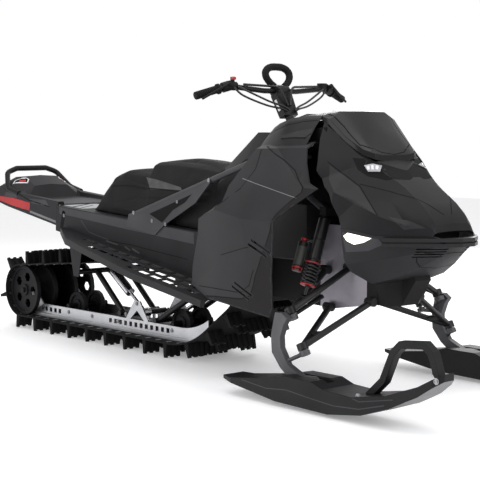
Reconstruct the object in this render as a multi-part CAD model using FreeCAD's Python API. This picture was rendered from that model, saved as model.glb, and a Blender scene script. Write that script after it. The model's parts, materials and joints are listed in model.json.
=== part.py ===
import FreeCAD, Part
import math
import os
from FreeCAD import Vector

# Snowmobile for deep snow, in millimetres: +X to the nose, +Y to the left, +Z up.
# The whole is moved ahead a little at the end, to set the origin below its middle, on the ground.

# Driving dimensions
ski_bolt_x = 970.0
ski_stance = 920.0
track_width = 406.0
belt_thickness = 6.0
lug_height = 64.0
body_length = 1200.0
body_rear_x = 100.0
body_height = 800.0
body_base_z = 300.0
body_half_width = 500.0
middle_shift = 20.0

# Clearances
fit_gap = 0.3
running_gap = 5.0
pin_gap = 0.4
overrun = 20.0

# How finely round bars, housings and bends are cut into flats
tube_sides = 10
fine_sides = 14
bend_steps = 3
near_axis_share = 0.9

half_stance = ski_stance / 2
half_track = track_width / 2
axis_x = Vector(1, 0, 0)
axis_y = Vector(0, 1, 0)
axis_z = Vector(0, 0, 1)
centre = Vector(0, 0, 0)
body_frame = (body_rear_x, body_length, body_half_width, body_base_z, body_height)


# Ways of making solids

def polygon_face(points):
    return Part.Face(Part.makePolygon(points + points[:1]))


def side_prism(outline, y_low, y_high):
    points = [Vector(x, y_low, z) for x, z in outline]
    return polygon_face(points).extrude(Vector(0, y_high - y_low, 0))


def plan_prism(outline, z_low, z_high):
    points = [Vector(x, y, z_low) for x, y in outline]
    return polygon_face(points).extrude(Vector(0, 0, z_high - z_low))


def block(x_low, x_high, y_low, y_high, z_low, z_high):
    return Part.makeBox(x_high - x_low, y_high - y_low, z_high - z_low, Vector(x_low, y_low, z_low))


def ring_points(middle, along, radius, sides):
    unit = Vector(along).normalize()
    reference = axis_x if abs(unit.z) > near_axis_share else axis_z
    across = unit.cross(reference).normalize()
    beside = unit.cross(across)
    turns = [2 * math.pi * index / sides for index in range(sides)]
    return [middle + across * (radius * math.cos(turn)) + beside * (radius * math.sin(turn))
            for turn in turns]


def rod(start, end, radius, sides=tube_sides):
    return polygon_face(ring_points(start, end - start, radius, sides)).extrude(end - start)


def bore(start, end, radius, sides=fine_sides):
    return rod(start, end, radius / math.cos(math.pi / sides), sides)


def cross_rod(x, z, half_length, radius, sides=tube_sides):
    return rod(Vector(x, -half_length, z), Vector(x, half_length, z), radius, sides)


def mirrored(shape):
    return shape.mirror(centre, axis_y)


def both_sides(shape):
    return [shape, mirrored(shape)]


def fused(shapes):
    if len(shapes) == 1:
        return shapes[0]
    return shapes[0].multiFuse(shapes[1:]).removeSplitter()


def without(shape, cutters):
    for cutter in cutters:
        shape = shape.cut(cutter)
    return shape


def largest(shape):
    return max(shape.Solids, key=lambda solid: solid.Volume)


def band_faces(line, following, closed=True):
    count = len(line)
    faces = []
    for index in range(count if closed else count - 1):
        corner, beside = line[index], line[(index + 1) % count]
        ahead, across = following[index], following[(index + 1) % count]
        if (across - corner).Length < (ahead - beside).Length:
            triangles = [(corner, beside, across), (corner, across, ahead)]
        else:
            triangles = [(corner, beside, ahead), (beside, across, ahead)]
        faces += [polygon_face(list(triangle)) for triangle in triangles]
    return faces


def shell_solid(faces):
    solid = Part.makeSolid(Part.makeShell(faces))
    if solid.Volume < 0:
        solid.reverse()
    return solid


def ringed_solid(rings):
    faces = [polygon_face(rings[0]), polygon_face(rings[-1])]
    for ring, following in zip(rings, rings[1:]):
        faces += band_faces(ring, following)
    return shell_solid(faces)


def skin_solid(outers, inners):
    faces = band_faces(outers[0], inners[0], False) + band_faces(outers[-1], inners[-1], False)
    rings = [outer + inner[::-1] for outer, inner in zip(outers, inners)]
    for ring, following in zip(rings, rings[1:]):
        faces += band_faces(ring, following)
    return shell_solid(faces)


def bent_line(points, bend_radius):
    line = [points[0]]
    for before, corner, after in zip(points, points[1:], points[2:]):
        arriving = (corner - before).normalize()
        leaving = (after - corner).normalize()
        turn = arriving.getAngle(leaving)
        inward = (leaving - arriving).normalize()
        hub = corner + inward * (bend_radius / math.cos(turn / 2))
        start = corner - arriving * (bend_radius * math.tan(turn / 2))
        for step in range(bend_steps + 1):
            angle = turn * step / bend_steps
            line.append(hub + (start - hub) * math.cos(angle) + arriving * (bend_radius * math.sin(angle)))
    return line + [points[-1]]


def bent_rod(points, radius, bend_radius, sides=tube_sides):
    line = bent_line(points, bend_radius)
    headings = [(after - before).normalize() for before, after in zip(line, line[1:])]
    rings = [ring_points(line[0], headings[0], radius, sides)]
    for index in range(1, len(line)):
        heading = headings[index - 1]
        facing = (heading + headings[min(index, len(headings) - 1)]).normalize()
        rings.append([corner + heading * ((line[index] - corner).dot(facing) / heading.dot(facing))
                      for corner in rings[-1]])
    faces = [polygon_face(rings[0]), polygon_face(rings[-1])]
    for ring, following in zip(rings, rings[1:]):
        for index in range(sides):
            beside = (index + 1) % sides
            faces.append(polygon_face([ring[index], ring[beside], following[beside], following[index]]))
    return shell_solid(faces)


def placed(shares, x_low, length, z_low, height):
    return [(x_low + x * length, z_low + z * height) for x, z in shares]


def body_side(shares):
    return placed(shares, body_rear_x, body_length, body_base_z, body_height)


def body_plan(shares):
    return placed(shares, body_rear_x, body_length, 0, body_half_width)


def save(node, solids):
    shape = solids[0] if len(solids) == 1 else Part.makeCompound(solids)
    shape.translate(Vector(middle_shift, 0, 0))
    shape.exportStep("parts/" + node + ".step")


# Track: a belt round the rear wheels, the rails' turned-up noses and the drive sprockets

rear_axle_x = -1430.0
rear_wheel_radius = 127.0
rail_nose_x = -215.0
rail_nose_radius = 430.0
drive_axle_x = 118.0
drive_axle_z = 352.0
sprocket_radius = 113.0
lug_rows = 52
lug_base = 26.0
lug_tip = 12.0
lug_root_sink = 2.0
lug_gap = 12.0
lug_edge_inset = 4.0
lug_middle_share = 0.52

belt_bottom_z = lug_height + belt_thickness
rear_axle_z = belt_bottom_z + rear_wheel_radius
rail_nose_z = belt_bottom_z + rail_nose_radius


def hull_turns():
    circles = [(rear_axle_x, rear_axle_z, rear_wheel_radius),
               (rail_nose_x, rail_nose_z, rail_nose_radius),
               (drive_axle_x, drive_axle_z, sprocket_radius)]
    headings = []
    for index, (x, z, radius) in enumerate(circles):
        next_x, next_z, next_radius = circles[(index + 1) % len(circles)]
        span = math.hypot(next_x - x, next_z - z)
        slope = math.atan2(next_z - z, next_x - x)
        headings.append(slope + math.asin((radius - next_radius) / span))
    return circles, headings


def rim_point(circle, heading, offset):
    x, z, radius = circle
    reach = radius + offset
    return Vector(x + reach * math.sin(heading), 0, z - reach * math.cos(heading))


def hull_face(offset):
    circles, headings = hull_turns()
    edges = []
    for index, circle in enumerate(circles):
        arriving = headings[index - 1]
        leaving = headings[index]
        if leaving < arriving:
            leaving += 2 * math.pi
        start = rim_point(circle, arriving, offset)
        middle = rim_point(circle, (arriving + leaving) / 2, offset)
        end = rim_point(circle, leaving, offset)
        edges.append(Part.Arc(start, middle, end).toShape())
        following = rim_point(circles[(index + 1) % len(circles)], headings[index], offset)
        edges.append(Part.LineSegment(end, following).toShape())
    return Part.Face(Part.Wire(edges))


def hull_solid(offset, half_width):
    solid = hull_face(offset).extrude(Vector(0, 2 * half_width, 0))
    solid.translate(Vector(0, -half_width, 0))
    return solid


def belt_stations(count):
    circles, headings = hull_turns()
    runs = []
    for index, circle in enumerate(circles):
        arriving = headings[index - 1]
        leaving = headings[index]
        if leaving < arriving:
            leaving += 2 * math.pi
        runs.append(("arc", circle, arriving, leaving, (circle[2] + belt_thickness) * (leaving - arriving)))
        start = rim_point(circle, leaving, belt_thickness)
        end = rim_point(circles[(index + 1) % len(circles)], leaving, belt_thickness)
        runs.append(("line", start, end, leaving, (end - start).Length))
    pitch = sum(run[4] for run in runs) / count
    stations = []
    passed = 0.0
    for run in runs:
        while len(stations) < count and len(stations) * pitch < passed + run[4]:
            share = (len(stations) * pitch - passed) / run[4]
            if run[0] == "arc":
                heading = run[2] + (run[3] - run[2]) * share
                stations.append((rim_point(run[1], heading, belt_thickness), heading))
            else:
                stations.append((run[1] + (run[2] - run[1]) * share, run[3]))
        passed += run[4]
    return stations


def track_lug(y_low, y_high):
    outline = [(-lug_base / 2, lug_root_sink), (lug_base / 2, lug_root_sink),
               (lug_tip / 2, -lug_height), (-lug_tip / 2, -lug_height)]
    return side_prism(outline, y_low, y_high)


def make_track():
    belt = hull_solid(belt_thickness, half_track).cut(hull_solid(0, half_track + overrun))
    outer_edge = half_track - lug_edge_inset
    middle_edge = half_track * lug_middle_share
    outer_lug = track_lug(middle_edge + lug_gap / 2, outer_edge)
    middle_lug = track_lug(-middle_edge + lug_gap / 2, middle_edge - lug_gap / 2)
    lugs = []
    for index, (point, heading) in enumerate(belt_stations(lug_rows)):
        row = both_sides(outer_lug) if index % 2 else [middle_lug]
        for lug in row:
            placed_lug = lug.copy()
            placed_lug.rotate(centre, axis_y, -math.degrees(heading))
            placed_lug.translate(point)
            lugs.append(placed_lug)
    return belt.multiFuse(lugs)


# Slide rails, with square windows and a tower for the suspension arm

rail_y = 122.0
rail_thickness = 8.0
rail_depth = 62.0
rail_foot = 16.0
rail_front_x = -25.0
rail_window = 22.0
rail_window_pitch = 40.0
rear_window_x = -1350.0
rear_windows = 5
front_window_x = -760.0
front_windows = 12
rail_window_z = 108.0
rail_boss_radius = 40.0
rail_arm_reach = 120.0
tower_x = -540.0
tower_half_base = 95.0
tower_half_top = 22.0
tower_height = 150.0
tower_web = 14.0
tower_inset = 42.0
tower_crown = 44.0
axle_radius = 13.0


def make_rail():
    y_low = rail_y - rail_thickness / 2
    strip = hull_solid(-fit_gap, rail_y + rail_thickness / 2).cut(hull_solid(-rail_depth, half_track))
    keep = block(rear_axle_x, rail_front_x, y_low, y_low + rail_thickness,
                 belt_bottom_z - overrun, rear_axle_z + rail_boss_radius)
    keep = keep.cut(block(rear_axle_x - overrun, rail_nose_x, 0, half_track,
                          belt_bottom_z + rail_depth, rear_axle_z + overrun + rail_boss_radius))
    rail = strip.common(keep)
    base_z = belt_bottom_z + rail_depth - tower_web
    top_z = belt_bottom_z + tower_height
    tower = side_prism([(tower_x - tower_half_base, base_z), (tower_x + tower_half_base, base_z),
                        (tower_x + tower_half_top, top_z), (tower_x - tower_half_top, top_z)],
                       y_low, y_low + rail_thickness)
    opening = side_prism([(tower_x - tower_half_base + tower_inset, base_z + tower_web),
                          (tower_x + tower_half_base - tower_inset, base_z + tower_web),
                          (tower_x, top_z - tower_crown)], y_low - overrun, rail_y + overrun)
    boss_start = Vector(rear_axle_x, y_low, rear_axle_z)
    boss = rod(boss_start, boss_start + axis_y * rail_thickness, rail_boss_radius, fine_sides)
    arm = side_prism([(rear_axle_x - rail_boss_radius, rear_axle_z),
                      (rear_axle_x + rail_boss_radius, rear_axle_z),
                      (rear_axle_x + rail_arm_reach, belt_bottom_z + rail_depth - tower_web),
                      (rear_axle_x, belt_bottom_z + tower_web)], y_low, y_low + rail_thickness)
    foot = hull_solid(-fit_gap, half_track).cut(hull_solid(-rail_foot, half_track + overrun))
    foot_keep = block(rear_axle_x, rail_front_x, rail_y - rail_foot, rail_y + rail_foot,
                      belt_bottom_z - overrun, rear_axle_z)
    foot_keep = foot_keep.cut(block(rear_axle_x - overrun, rail_nose_x, 0, half_track,
                                    belt_bottom_z + rail_foot, rear_axle_z + overrun))
    rail = fused([rail, tower, boss, arm, foot.common(foot_keep)])
    cutters = [opening, cross_rod(rear_axle_x, rear_axle_z, half_track, axle_radius + fit_gap)]
    for start, count in ((rear_window_x, rear_windows), (front_window_x, front_windows)):
        for step in range(count):
            x = start + step * rail_window_pitch
            cutters.append(block(x, x + rail_window, 0, half_track, rail_window_z - rail_window / 2,
                                 rail_window_z + rail_window / 2))
    return without(rail, cutters)


# Wheels that carry the belt

wheel_width = 22.0
rear_wheel_outer_y = 165.0
rear_wheel_inner_y = 62.0
rear_wheel_sides = 20
hub_radius = 30.0
wheel_rim = 16.0
wheel_web = 6.0
wheel_window_share = 0.3
wheel_window_sides = 6
wheel_windows = 5
carrier_wheel_radius = 68.0
carrier_wheel_sides = 14
carrier_wheel_places = [-1120.0, -290.0]
carrier_wheel_y = 54.0


def make_wheel(x, y, z, radius, sides, windows):
    y_low = y - wheel_width / 2
    side_depth = (wheel_width - wheel_web) / 2

    def disc(disc_x, disc_z, start, width, disc_radius, disc_sides):
        foot = Vector(disc_x, y_low + start, disc_z)
        return rod(foot, foot + axis_y * width, disc_radius, disc_sides)

    hollow = disc(x, z, 0, wheel_width, radius - wheel_rim, sides)
    hollow = hollow.cut(disc(x, z, 0, wheel_width, hub_radius, tube_sides))
    hollow = hollow.cut(disc(x, z, side_depth, wheel_web, radius, sides))
    wheel = disc(x, z, 0, wheel_width, radius, sides).cut(hollow)
    ring = (radius - wheel_rim + hub_radius) / 2
    window_radius = (radius - wheel_rim - hub_radius) * wheel_window_share
    for index in range(windows):
        angle = 2 * math.pi * index / windows
        wheel = wheel.cut(disc(x + ring * math.cos(angle), z + ring * math.sin(angle), 0, wheel_width,
                               window_radius, wheel_window_sides))
    return wheel


def make_rear_axle():
    radius = rear_wheel_radius - fit_gap
    wheels = []
    for y, windows in ((rear_wheel_outer_y, wheel_windows), (rear_wheel_inner_y, 0)):
        for side in (-1, 1):
            wheels.append(make_wheel(rear_axle_x, side * y, rear_axle_z, radius, rear_wheel_sides, windows))
    half_length = rear_wheel_outer_y + wheel_width
    return fused(wheels + [cross_rod(rear_axle_x, rear_axle_z, half_length, axle_radius)])


def make_idler_wheels():
    solids = []
    shaft_half = rail_y - rail_thickness / 2 - fit_gap
    for x in carrier_wheel_places:
        z = belt_bottom_z + carrier_wheel_radius + fit_gap
        if x > rail_nose_x:
            reach = rail_nose_radius - carrier_wheel_radius
            z = rail_nose_z - math.sqrt(reach ** 2 - (x - rail_nose_x) ** 2)
        radius = carrier_wheel_radius - fit_gap
        wheels = [make_wheel(x, side * carrier_wheel_y, z, radius, carrier_wheel_sides, 0) for side in (-1, 1)]
        solids.append(fused(wheels + [cross_rod(x, z, shaft_half, axle_radius)]))
    return solids


# Drive axle with two toothed sprockets

sprocket_y = 70.0
sprocket_width = 40.0
sprocket_teeth = 8
sprocket_root_share = 0.86
tooth_width_share = 0.34
drive_shaft_radius = 16.0


def make_drive_axle():
    shapes = []
    root = sprocket_radius * sprocket_root_share
    tooth = sprocket_radius * tooth_width_share
    reach = sprocket_radius - fit_gap
    for side in (-1, 1):
        start = Vector(drive_axle_x, side * sprocket_y - sprocket_width / 2, drive_axle_z)
        end = start + axis_y * sprocket_width
        limit = rod(start, end, reach, 3 * sprocket_teeth)
        for index in range(sprocket_teeth):
            bar = block(0, reach, start.y, end.y, -tooth / 2, tooth / 2)
            bar.rotate(centre, axis_y, 360 * index / sprocket_teeth)
            bar.translate(Vector(drive_axle_x, 0, drive_axle_z))
            shapes.append(bar.common(limit))
        shapes.append(rod(start, end, root, 2 * sprocket_teeth))
    shapes.append(cross_rod(drive_axle_x, drive_axle_z, tunnel_half_inner - fit_gap, drive_shaft_radius))
    return fused(shapes)


# Tunnel: the sheet-metal spine over the track

tunnel_half_inner = 211.0
tunnel_sheet = 3.5
tunnel_rear_x = -1075.0
tunnel_front_x = 330.0
tunnel_rear_z = 646.0
tunnel_front_z = 556.0
tunnel_skirt = 28.0
board_anchor_x = -156.0
board_anchor_z = 404.0
board_slope = math.radians(9.1)
bracket_x = -905.0
bracket_half_width = 42.0
bracket_flare_share = 1.6
bracket_bolt_z = 332.0
front_bracket_x = -95.0
front_bracket_bolt_z = 318.0
tunnel_half_outer = tunnel_half_inner + tunnel_sheet


def board_z(x):
    return board_anchor_z - (x - board_anchor_x) * math.tan(board_slope)


def tunnel_low_z(x):
    return board_z(x) - tunnel_skirt


def tunnel_top_z(x):
    share = (x - tunnel_rear_x) / (tunnel_front_x - tunnel_rear_x)
    return tunnel_rear_z + share * (tunnel_front_z - tunnel_rear_z)


def bracket_outline(x, bolt_z):
    low = bolt_z - bracket_half_width / 2
    flare = bracket_half_width * bracket_flare_share
    return [(x - flare, tunnel_low_z(x) + tunnel_skirt), (x - bracket_half_width / 2, low),
            (x + bracket_half_width / 2, low), (x + flare, tunnel_low_z(x) + tunnel_skirt)]


def make_tunnel():
    outline = [(tunnel_rear_x, tunnel_low_z(tunnel_rear_x)), (tunnel_front_x, tunnel_low_z(tunnel_front_x)),
               (tunnel_front_x, tunnel_front_z), (tunnel_rear_x, tunnel_rear_z)]
    outer = side_prism(outline, -tunnel_half_outer, tunnel_half_outer)
    low = tunnel_low_z(tunnel_front_x) - overrun
    inner_outline = [(tunnel_rear_x - overrun, low), (tunnel_front_x - tunnel_sheet, low),
                     (tunnel_front_x - tunnel_sheet, tunnel_front_z - tunnel_sheet),
                     (tunnel_rear_x - overrun, tunnel_top_z(tunnel_rear_x - overrun) - tunnel_sheet)]
    inner = side_prism(inner_outline, -tunnel_half_inner, tunnel_half_inner)
    shapes = [outer.cut(inner)]
    for x, bolt_z in ((bracket_x, bracket_bolt_z), (front_bracket_x, front_bracket_bolt_z)):
        plate = side_prism(bracket_outline(x, bolt_z), tunnel_half_inner, tunnel_half_outer)
        shapes += both_sides(plate)
    return fused(shapes)


# Running boards, perforated so that snow falls through

board_outer_y = 450.0
board_rear_y = 350.0
board_rear_x = -1010.0
board_corner_x = -800.0
board_front_x = 318.0
board_sheet = 4.0
board_rim = 22.0
board_rim_height = 26.0
slot_length = 62.0
slot_width = 30.0
slot_pitch = 84.0
slot_rows_y = [268.0, 330.0, 388.0]
slot_first_x = -760.0
slot_count = 12


def make_board():
    inner_y = tunnel_half_outer + fit_gap
    outline = [(board_rear_x, inner_y), (board_front_x, inner_y), (board_front_x, board_outer_y),
               (board_anchor_x, board_outer_y), (board_corner_x, board_rear_y),
               (board_rear_x, inner_y + board_rim)]
    plate = plan_prism(outline, 0, board_sheet)
    wall = plan_prism(outline, -board_rim_height, 0)
    hollow = [(board_rear_x - overrun, 0), (board_front_x + overrun, 0),
              (board_front_x + overrun, board_outer_y - board_rim),
              (board_anchor_x, board_outer_y - board_rim),
              (board_corner_x, board_rear_y - board_rim), (board_rear_x, inner_y)]
    wall = wall.cut(plan_prism(hollow, -board_rim_height - overrun, overrun))
    board = fused([plate, wall])
    cutters = []
    for row, y in enumerate(slot_rows_y):
        for index in range(slot_count):
            x = slot_first_x + index * slot_pitch + (slot_pitch / 2 if row % 2 else 0)
            edge = board_rear_y - board_rim + (x - board_corner_x) * (
                (board_outer_y - board_rear_y) / (board_anchor_x - board_corner_x))
            if y + slot_width / 2 < min(edge, board_outer_y - board_rim):
                cutters.append(block(x, x + slot_length, y - slot_width / 2, y + slot_width / 2,
                                     -overrun, overrun))
    board = without(board, cutters)
    board.translate(Vector(-board_anchor_x, 0, 0))
    board.rotate(centre, axis_y, math.degrees(board_slope))
    board.translate(Vector(board_anchor_x, 0, board_anchor_z))
    return board


# Skid suspension: arms, dampers and their cross shafts

shaft_radius = 13.0
arm_radius = 14.0
arm_y = 92.0
rear_arm_rail_x = -690.0
rear_arm_rail_z = 148.0
front_arm_rail_x = -420.0
front_arm_rail_z = 140.0
damper_radius = 24.0
damper_rod_radius = 9.0
damper_body_share = 0.55
damper_eye_share = 0.9
damper_eye_half_share = 0.8


def make_arm(top_x, top_z, low_x, low_z):
    half_rail = rail_y - rail_thickness / 2 - fit_gap
    shapes = [cross_rod(top_x, top_z, tunnel_half_inner - fit_gap, shaft_radius),
              cross_rod(low_x, low_z, half_rail, shaft_radius)]
    for side in (-1, 1):
        shapes.append(rod(Vector(top_x, side * arm_y, top_z), Vector(low_x, side * arm_y, low_z), arm_radius))
    return fused(shapes)


def make_damper(top, low):
    middle = top + (low - top) * damper_body_share
    half_eye = axis_y * damper_radius * damper_eye_half_share
    eyes = [rod(point - half_eye, point + half_eye, damper_radius * damper_eye_share) for point in (top, low)]
    return fused([rod(top, middle, damper_radius), rod(middle, low, damper_rod_radius)] + eyes)


def skid_parts():
    rear_arm = make_arm(bracket_x, bracket_bolt_z, rear_arm_rail_x, rear_arm_rail_z)
    front_arm = make_arm(front_bracket_x, front_bracket_bolt_z, front_arm_rail_x, front_arm_rail_z)
    carrier_x = tower_x - tower_half_base
    rear_damper = make_damper(Vector(bracket_x, 0, bracket_bolt_z), Vector(carrier_x, 0, rear_arm_rail_z))
    front_damper = make_damper(Vector(front_bracket_x, 0, front_bracket_bolt_z),
                               Vector(front_arm_rail_x, 0, front_arm_rail_z))
    carrier = cross_rod(carrier_x, rear_arm_rail_z, rail_y - rail_thickness / 2 - fit_gap, shaft_radius)
    rear_damper = without(rear_damper, [rear_arm, carrier])
    front_damper = without(front_damper, [front_arm])
    return [rear_arm, front_arm, carrier], [rear_damper, front_damper]


# Body panels: faceted skins over stations along X, given as shares of the body's own sizes

panel_thickness = 6.0
windshield_depth = 24.0

hood_stations_shares = [
    (.941, [(0, .425), (.180, .422), (.212, .417), (.228, .412), (.238, .407)]),
    (.935, [(0, .460), (.184, .455), (.220, .438), (.236, .422), (.244, .407)]),
    (.921, [(0, .492), (.196, .487), (.244, .455), (.264, .431), (.272, .407)]),
    (.881, [(0, .552), (.196, .547), (.296, .497), (.352, .450), (.364, .407)]),
    (.808, [(0, .629), (.194, .624), (.336, .560), (.480, .496), (.508, .407)]),
    (.733, [(0, .710), (.256, .703), (.368, .640), (.528, .556), (.608, .435)]),
    (.667, [(0, .781), (.320, .769), (.412, .710), (.604, .600), (.640, .444)]),
    (.600, [(0, .863), (.356, .850), (.508, .765), (.624, .650), (.656, .500)]),
    (.523, [(0, .975), (.360, .958), (.438, .907), (.580, .781), (.640, .613)])]
hood_keep_shares = [
    (.523, 1.0), (.540, .907), (.579, .746), (.588, .700), (.654, .593), (.671, .537), (.707, .444),
    (.707, .375), (1.0, .375), (1.0, 1.0)]
pan_stations_shares = [
    (.968, [(.192, .390), (.168, .372), (.090, .364), (0, .362)]),
    (.941, [(.238, .406), (.216, .355), (.120, .323), (0, .318)]),
    (.921, [(.272, .406), (.244, .343), (.136, .300), (0, .295)]),
    (.881, [(.364, .406), (.328, .320), (.190, .260), (0, .253)]),
    (.808, [(.508, .406), (.468, .290), (.276, .203), (0, .190)]),
    (.733, [(.608, .434), (.560, .275), (.344, .168), (0, .155)]),
    (.667, [(.640, .443), (.592, .269), (.400, .155), (0, .145)])]
pan_keep_shares = [(.707, .475), (.707, .225), (.738, .160), (.738, .100), (1.0, .100), (1.0, .475)]
windshield_stations_shares = [
    (.698, [(0, .767), (.140, .769), (.224, .777)]),
    (.671, [(0, .806), (.170, .805), (.284, .795)]),
    (.617, [(0, .885), (.210, .881), (.340, .853)]),
    (.554, [(0, .980), (.250, .978), (.372, .940)]),
    (.523, [(0, .985), (.250, .983), (.372, .953)])]
shroud_stations_shares = [
    (.523, [(0, .975), (.360, .958), (.438, .907), (.580, .781), (.640, .613)]),
    (.450, [(0, .979), (.370, .958), (.450, .900), (.580, .787), (.636, .662)]),
    (.375, [(0, .973), (.360, .945), (.450, .881), (.570, .781), (.624, .669)]),
    (.308, [(0, .948), (.330, .922), (.430, .856), (.544, .762), (.600, .669)]),
    (.254, [(0, .925), (.270, .902), (.390, .831), (.510, .744), (.570, .656)])]
console_stations_shares = [
    (-.033, [(0, .688), (.20, .683), (.29, .600), (.33, .440)]),
    (.117, [(0, .880), (.15, .876), (.29, .740), (.33, .500)]),
    (.250, [(0, .880), (.15, .876), (.33, .740), (.35, .560)]),
    (.383, [(0, .800), (.15, .800), (.36, .760), (.37, .600)])]
panel_stations_shares = [
    (.042, [(.44, .565), (.48, .560), (.60, .500), (.72, .430), (.79, .200), (.80, .060)]),
    (.250, [(.42, .830), (.56, .795), (.82, .620), (.91, .500), (.93, .200), (.90, .050)]),
    (.417, [(.44, .835), (.60, .800), (.88, .610), (.99, .470), (.94, .200), (.89, .020)]),
    (.573, [(.44, .850), (.60, .805), (.74, .640), (.94, .460), (.92, .200), (.87, -.01)]),
    (.698, [(.46, .745), (.54, .720), (.62, .600), (.80, .450), (.82, .200), (.78, .000)])]
panel_outline_shares = [(.302, .812), (.539, .832), (.605, .640), (.634, .615), (.549, .465), (.521, .050),
                        (.498, .000), (.208, .050), (.096, .110), (.104, .440), (.281, .534)]
vent_places_shares = [(.455, .365), (.440, .345), (.360, .150), (.345, .130)]
vent_length_share = 0.075
vent_drop_share = 0.055
vent_width = 9.0


def offset_line(points, distance):
    normals = []
    for (y, z), (next_y, next_z) in zip(points, points[1:]):
        length = math.hypot(next_y - y, next_z - z)
        normals.append(((next_z - z) / length, (y - next_y) / length))
    moved = []
    for index, (y, z) in enumerate(points):
        first = normals[max(index - 1, 0)]
        second = normals[min(index, len(normals) - 1)]
        scale = distance / (1 + first[0] * second[0] + first[1] * second[1])
        moved.append((y + scale * (first[0] + second[0]), z + scale * (first[1] + second[1])))
    return moved


def arched_lines(stations, upward, frame):
    rear_x, length, half_width, low_z, height = frame
    lines = []
    for share, half in stations:
        line = [(y * half_width, low_z + z * height) for y, z in half]
        other = [(-y, z) for y, z in line if y > 0]
        full = other[::-1] + line if upward else line + other[::-1]
        lines.append((rear_x + share * length, full))
    return lines


def at_x(x, line):
    return [Vector(x, y, z) for y, z in line]


def arched_skin(stations, upward, lean=panel_thickness, frame=body_frame, thickness=panel_thickness):
    lines = arched_lines(stations, upward, frame)
    outers = [at_x(x, line) for x, line in lines]
    inners = [at_x(x - lean, offset_line(line, thickness)) for x, line in lines]
    return skin_solid(outers, inners)


def make_windshield():
    lines = arched_lines(windshield_stations_shares, True, body_frame)
    outers = [at_x(x, line) for x, line in lines]
    inners = [[point - axis_z * windshield_depth for point in outer] for outer in outers]
    return skin_solid(outers, inners)


def windshield_seat():
    lines = arched_lines(windshield_stations_shares, True, body_frame)
    half = [(x + fit_gap, line[-1][0] + fit_gap) for x, line in lines]
    plan = half + [(half[-1][0] - overrun, half[-1][1])]
    return plan_prism(plan + [(x, -y) for x, y in plan[::-1]], body_base_z, body_base_z + body_height)


def make_hood(seat_prism):
    hood = arched_skin(hood_stations_shares, True)
    keep = side_prism(body_side(hood_keep_shares), -body_half_width, body_half_width)
    return largest(hood.common(keep).cut(seat_prism))


def side_skin():
    rear_x, length, half_width, low_z, height = body_frame
    lines = [(rear_x + share * length, [(y * half_width, low_z + z * height) for y, z in line])
             for share, line in panel_stations_shares]
    outers = [at_x(x, line) for x, line in lines]
    inners = [at_x(x, offset_line(line, panel_thickness)) for x, line in lines]
    skin = skin_solid(outers, inners)
    skin = skin.common(side_prism(body_side(panel_outline_shares), 0, body_half_width + overrun))
    vents = []
    for x_share, z_share in vent_places_shares:
        run = [(x_share, z_share), (x_share + vent_length_share, z_share - vent_drop_share)]
        (x_low, z_high), (x_high, z_low) = body_side(run)
        outline = [(x_low, z_high), (x_high, z_low), (x_high, z_low + vent_width),
                   (x_low, z_high + vent_width)]
        vents.append(side_prism(outline, body_half_width / 2, body_half_width + overrun))
    return without(skin, vents)


# The pan below the hood, with a slatted grille on each side of its nose

grille_rear_share = 0.858
grille_inner_share = 0.10
grille_outer_share = 0.30
grille_low_share = 0.306
grille_pitch = 10.0
grille_slot = 4.0
grille_slots = 4


def make_pan(hood):
    pan = arched_skin(pan_stations_shares, False)
    pan = pan.common(side_prism(body_side(pan_keep_shares), -body_half_width, body_half_width)).cut(hood)
    x_low = body_rear_x + grille_rear_share * body_length
    slots = []
    for index in range(grille_slots):
        z_low = body_base_z + grille_low_share * body_height + index * grille_pitch
        slots.append(block(x_low, body_rear_x + body_length, grille_inner_share * body_half_width,
                           grille_outer_share * body_half_width, z_low, z_low + grille_slot))
    return without(pan, slots + [mirrored(slot) for slot in slots])


# Lip that rings the nose between hood and pan, as a bumper

lip_outer_shares = [(.833, .500), (.930, .304), (.968, .200), (1.0, .070)]
lip_inner_shares = [(.963, 0), (.958, .170), (.938, .216), (.881, .336), (.833, .450)]
lip_low_share = 0.3575
lip_high_share = 0.3975
lip_groove = 6.0
lip_groove_depth = 12.0


def make_lip(pan, hood):
    outer = body_plan(lip_outer_shares)
    inner = body_plan(lip_inner_shares)
    outline = outer + [(x, -y) for x, y in outer[::-1]] + [(x, -y) for x, y in inner[:0:-1]] + inner
    z_low = body_base_z + lip_low_share * body_height
    z_high = body_base_z + lip_high_share * body_height
    lip = plan_prism(outline, z_low, z_high)
    groove_z = (z_low + z_high - lip_groove) / 2
    shifted = [(x - lip_groove_depth, y) for x, y in outer]
    core = plan_prism(shifted + [(x, -y) for x, y in shifted[::-1]], groove_z, groove_z + lip_groove)
    groove = block(body_rear_x, body_rear_x + body_length + overrun, -body_half_width, body_half_width,
                   groove_z, groove_z + lip_groove).cut(core)
    return largest(without(lip, [groove, pan, hood]))


# Lamps, cut out of the skins so that each lens sits flush in its panel

head_lens_shares = [(.688, .235), (.700, .205), (.733, .215), (.725, .310), (.695, .320)]
head_lens_low_share = 0.6
head_lens_high_share = 0.9
lower_lens_shares = [(.713, .383), (.729, .403), (.793, .390), (.783, .360), (.746, .343), (.721, .360)]
lower_lens_inner_share = 0.3


def head_prism():
    return plan_prism(body_plan(head_lens_shares), body_base_z + head_lens_low_share * body_height,
                      body_base_z + head_lens_high_share * body_height)


def lower_prism():
    return side_prism(body_side(lower_lens_shares), lower_lens_inner_share * body_half_width, body_half_width)


# Front bulkhead: the cast box that carries the front suspension, with the belly below the pan

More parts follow.
